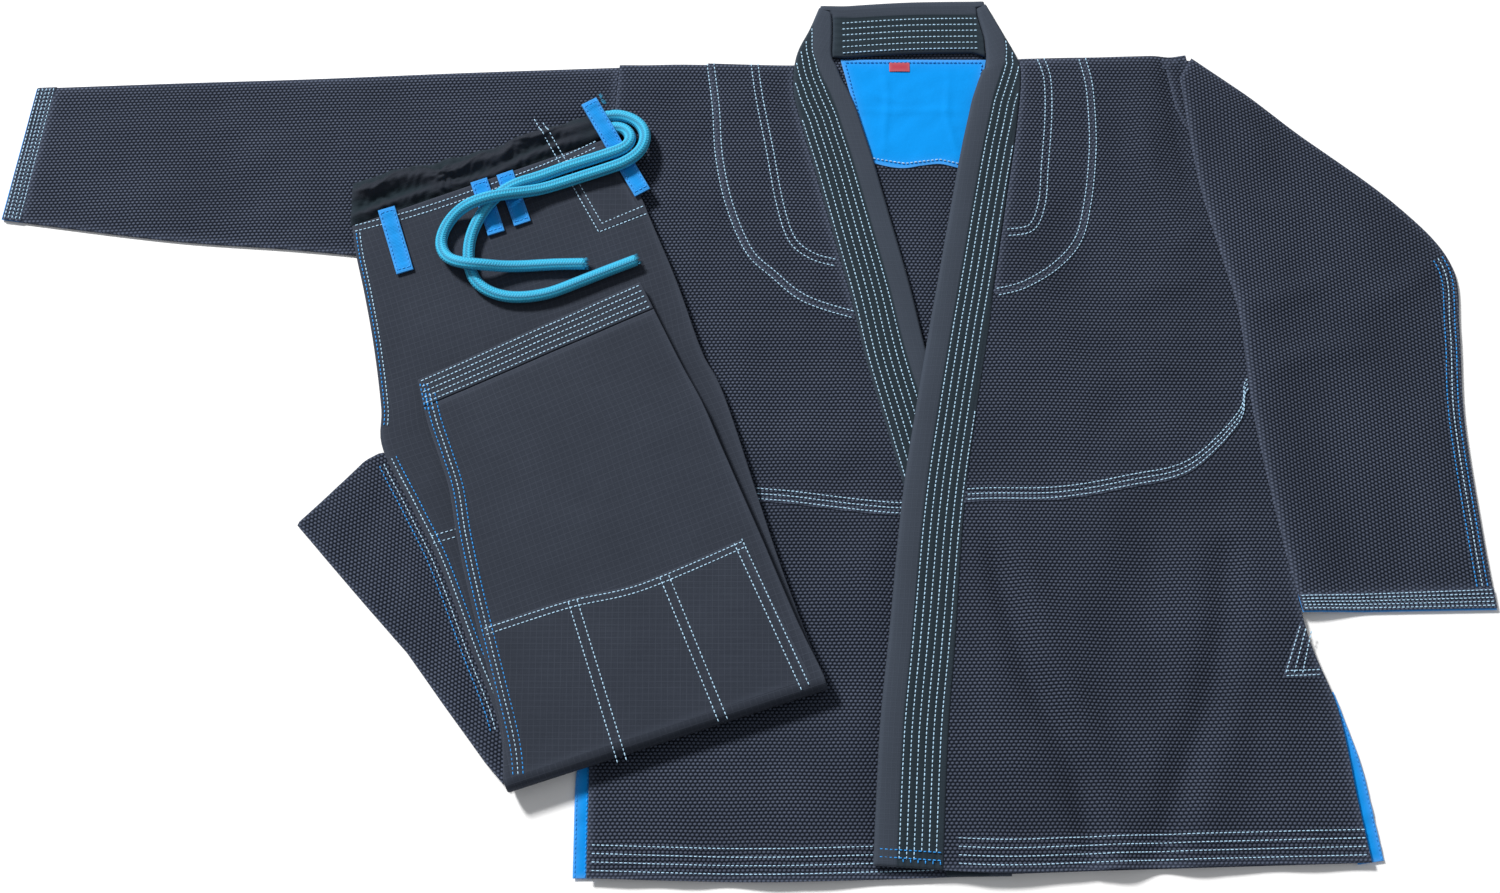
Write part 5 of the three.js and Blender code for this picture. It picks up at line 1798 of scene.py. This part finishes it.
class SUIT_OT_waist(bpy.types.Operator):
    """Gather the casing round its cord and lay the hip patch, the gusset and the belt loops"""
    bl_idname = "suit.waist"
    bl_label = "Waist and gusset"

    def execute(self, context):
        self.casing()
        self.gusset()
        self.hip()
        self.loops()
        return {"FINISHED"}

    def casing(self):
        """Two long puffs with a deep valley between them wander along the casing; short gathers
        cross them and a tuck crumples the middle. Shade is painted into the low places."""
        low = level("waistband_casing")[0]
        foot, top = spline(CASING_FOOT), spline(CASING_TOP)
        step = np.linspace(0, 1, len(top))[:, None]
        top = top + (0.31, -0.95) * (1.3 * np.sin(step * 23)
                                     + 0.9 * np.sin(step * 51 + 1)) * np.sin(step * np.pi)
        cut = Cut(foot, top, fine=(1.0, 1.6), edge=4.5)

        def relief(c):
            along_it, s = c.up, np.stack([c.up, c.across], -1)
            middle = c.width * 0.66 + 2.6 * np.sin(along_it / 21) + 1.2 * np.sin(along_it / 9 + 2)
            lower = c.width * 0.24 - 1.8 * np.sin(along_it / 17 + 1)
            end = soft(along_it / 14) * soft((c.length - along_it) / 34)
            rope = 8.2 * bell((c.across - middle) / 7.0) + 5.4 * bell((c.across - lower) / 4.6)
            small = 1.8 * bell((c.across - middle - 4 + 6 * np.sin(along_it / 12)) / 1.9)
            gathers = 1.1 * folds(s, 76, 13, 112, 0.6) + 0.5 * folds(s, 102, 7, 113, 0.6)
            long = 0.9 * folds(s, 8, 8.0, 111, 0.9)
            spot = bell(np.hypot((along_it - 88) / 15, (c.across - 22) / 11))
            crumple = spot * (2.2 * folds(s, 40, 7.5, 114, 0.8) + 1.4 * folds(s, -35, 6, 115, 0.8))
            tail = soft((along_it - c.length + 44) / 30)
            folded = (0.85 * gathers + long) * (0.35 + 0.65 * end) * (1 - 0.5 * tail)
            return (rope + small) * (0.45 + 0.55 * end) + folded + crumple
        high = lambda c: np.clip(low + 2.8 + relief(c), low + 1.5, low + 13)
        # painted shade: the sewn mask darkens the casing where its relief is low, in the valleys
        # between the puffs
        lay("casing_cloth", cut, (high, lambda c: low + 0.3 * (1 + np.sin(c.up / 9))),
            "casing_cotton", ("waistband_casing", "drawcord_in_casing"), "gathered",
            "right_sleeve_upper_ply", weave=band_weave(cut),
            sewn=1 - soft((high(cut) - low - 3) / 6), body="trousers")
        seam = [beside(foot, -3.4), beside(foot, -8.6)]
        surface = lambda xy: thigh_height(xy) + 0.1
        seam = [line[(line[:, 0] > -338) & (line[:, 0] < -132)] for line in seam]
        edge = THIGH_LEFT[(THIGH_LEFT[:, 1] < 186) & (THIGH_LEFT[:, 1] > 12)]
        side = [beside(edge, d) for d in (3.0, 6.0)]
        lower = THIGH_LEFT[(THIGH_LEFT[:, 1] < -12) & (THIGH_LEFT[:, 1] > -232)]
        inner = [beside(lower, d) for d in (4.0, 8.0)]
        hip = [(-188, 292), (-129, 185), (-88, 202)]
        corner = [(-180.5, 289), (-126.5, 193), (-91, 209)]
        over = [straight(*hip[:1], (-178, 274)), straight(*corner[:1], (-170, 271))]
        rows = [straight((-178, 274), *hip[1:]), straight((-170, 271), *corner[1:])]
        on_casing = draped(cut, high)
        under_knee = [straight((-259, -86), (-236, -79)), straight((-261, -80), (-238, -73))]
        sew("thigh_stitches", [lifted(line, surface) for line in seam + rows + inner[:1]
                               + under_knee]
            + [lifted(line, on_casing) for line in over] + [lifted(side[1], surface)],
            [lifted(side[0], surface), lifted(inner[1], surface)], body="trousers",
            slot="trouser_ripstop", seed=121)

    def gusset(self):
        """The gusset eases from the trousers' level down to the floor at its outer corner."""
        seam = beside(spline([(-302, -8), (-276, -58), (-253, -102), (-225, -170), (-200, -231),
                              (-193, -270)]), 4)
        edge = np.array([(-308, -8), (-320, -14), (-343, -36), (-374, -67), (-323, -124),
                         (-278, -173),
                         (-248, -213), (-211, -261), (-195, -279)], float)

        def height(xy):
            d, _ = distance_to(xy, THIGH_LEFT[::4])
            return 9.0 - 5.6 * soft(d / 50) + 1.1 * folds(xy, 60, 42, 131) * soft((d - 4) / 20)
        cut = Cut(edge[::-1], seam[::-1], fine=(4, 4), edge=1.6)
        lay("gusset_cloth", cut, lying(height, 3.0), "pearl_weave", ("crotch_gusset",), "folded",
            "floor", grain=-35, body="trousers")
        lower = THIGH_LEFT[(THIGH_LEFT[:, 1] < -14) & (THIGH_LEFT[:, 1] > -236)]
        sewn("gusset_stitches", [beside(lower, -4)], height, blue=[beside(lower, -8)],
             body="trousers",
             slot="pearl_weave", seed=132)

    def hip(self):
        outline = Cut([(-128, 186), (-163, 256)], [(-92, 202), (-127, 265)], fine=(4, 4), edge=0.6)
        lay("hip_patch_cloth", outline, lying(lambda xy: thigh_height(xy) + 0.6, PATCH),
            "trouser_ripstop", ("hip_patch",), "laid", "right_leg_front", body="trousers")

    def loops(self):
        """Belt loops: webbing straps with a hump over the seam and turned-under ends."""
        ends = (((-311, 206), (-292, 148)), ((-233, 232), (-216, 183)),
                ((-211, 239), (-194, 192)), ((-140, 305), (-92, 220)))
        for k, (a, b) in enumerate(ends):
            node = f"belt_loop_{k + 1}"
            low, high = level(node)
            line = straight(a, b)[::-1]
            cut = Cut(beside(line, 7.5), beside(line, -7.5), fine=(1.5, 1.5), edge=0.6)

            def rise(c):
                near = np.minimum(c.up, c.length - c.up)
                turned_under = 0.7 * (1 - soft((near - 7) / 1.4))
                wave = 0.35 * np.sin(c.up / 4.1 + k
                                     * 1.7) + 0.25 * np.sin(c.up / 2.3 + c.across / 5 + k)
                step = 1.0 * bell((c.up - c.length + 16)
                                  / 7) if k < 3 else 1.6 * soft((c.up - c.length * 0.5) / 18)
                return high + turned_under + 0.5 * wave + step
            lay(f"{node}_strap", cut, (rise, between(low, high)[1]), "loop_webbing", (node,),
                "laid", "right_leg_front", weave=band_weave(cut), body="trousers")
            strap = np.concatenate([cut.xy, rise(cut)[..., None] - 0.05], -1)
            columns = [int(np.argmin(np.abs(cut.u[cut.u.shape[0] // 2] - share)))
                       for share in (0.09, 0.91)]
            rows = [strap[5:-5, column]
                    for column in columns] + [strap[row, 5:-5] for row in (6, -7)]
            sew(f"{node}_stitches", (), rows, body="trousers", slot="loop_webbing", seed=140 + k)
        frayed("belt_loop_4_fray", along(np.array([(-150, 296, 19.5), (-128, 307, 20.5)], float),
                                         np.linspace(0, 1, 8)), 9)


# The add-on --------------------------------------------------------------------------------------

STEPS = (SUIT_OT_stage, SUIT_OT_drawcord, SUIT_OT_jacket_back, SUIT_OT_neck, SUIT_OT_vents,
         SUIT_OT_right_front, SUIT_OT_left_front, SUIT_OT_lapels, SUIT_OT_sleeves, SUIT_OT_legs,
         SUIT_OT_waist)


class SUIT_PT_panel(bpy.types.Panel):
    """The steps that sew the suit, in order"""
    bl_idname = "SUIT_PT_panel"
    bl_label = "Martial arts suit"
    bl_space_type = "VIEW_3D"
    bl_region_type = "UI"
    bl_category = "Suit"

    def draw(self, context):
        for step in STEPS:
            self.layout.operator(step.bl_idname)
        for group in (context.scene.suit_sizes, context.scene.suit_colours):
            box = self.layout.box()
            for key in group.__annotations__:
                box.prop(group, key)


CLASSES = (SuitColours, SuitSizes, *STEPS, SUIT_PT_panel)


def register():
    for item in CLASSES:
        bpy.utils.register_class(item)
    bpy.types.Scene.suit_colours = PointerProperty(type=SuitColours)
    bpy.types.Scene.suit_sizes = PointerProperty(type=SuitSizes)


def unregister():
    del bpy.types.Scene.suit_colours, bpy.types.Scene.suit_sizes
    for item in reversed(CLASSES):
        bpy.utils.unregister_class(item)


def main():
    """Sews the suit step by step."""
    register()
    for step in STEPS:
        family, name = step.bl_idname.split(".")
        getattr(getattr(bpy.ops, family), name)()


if __name__ == "__main__":
    main()
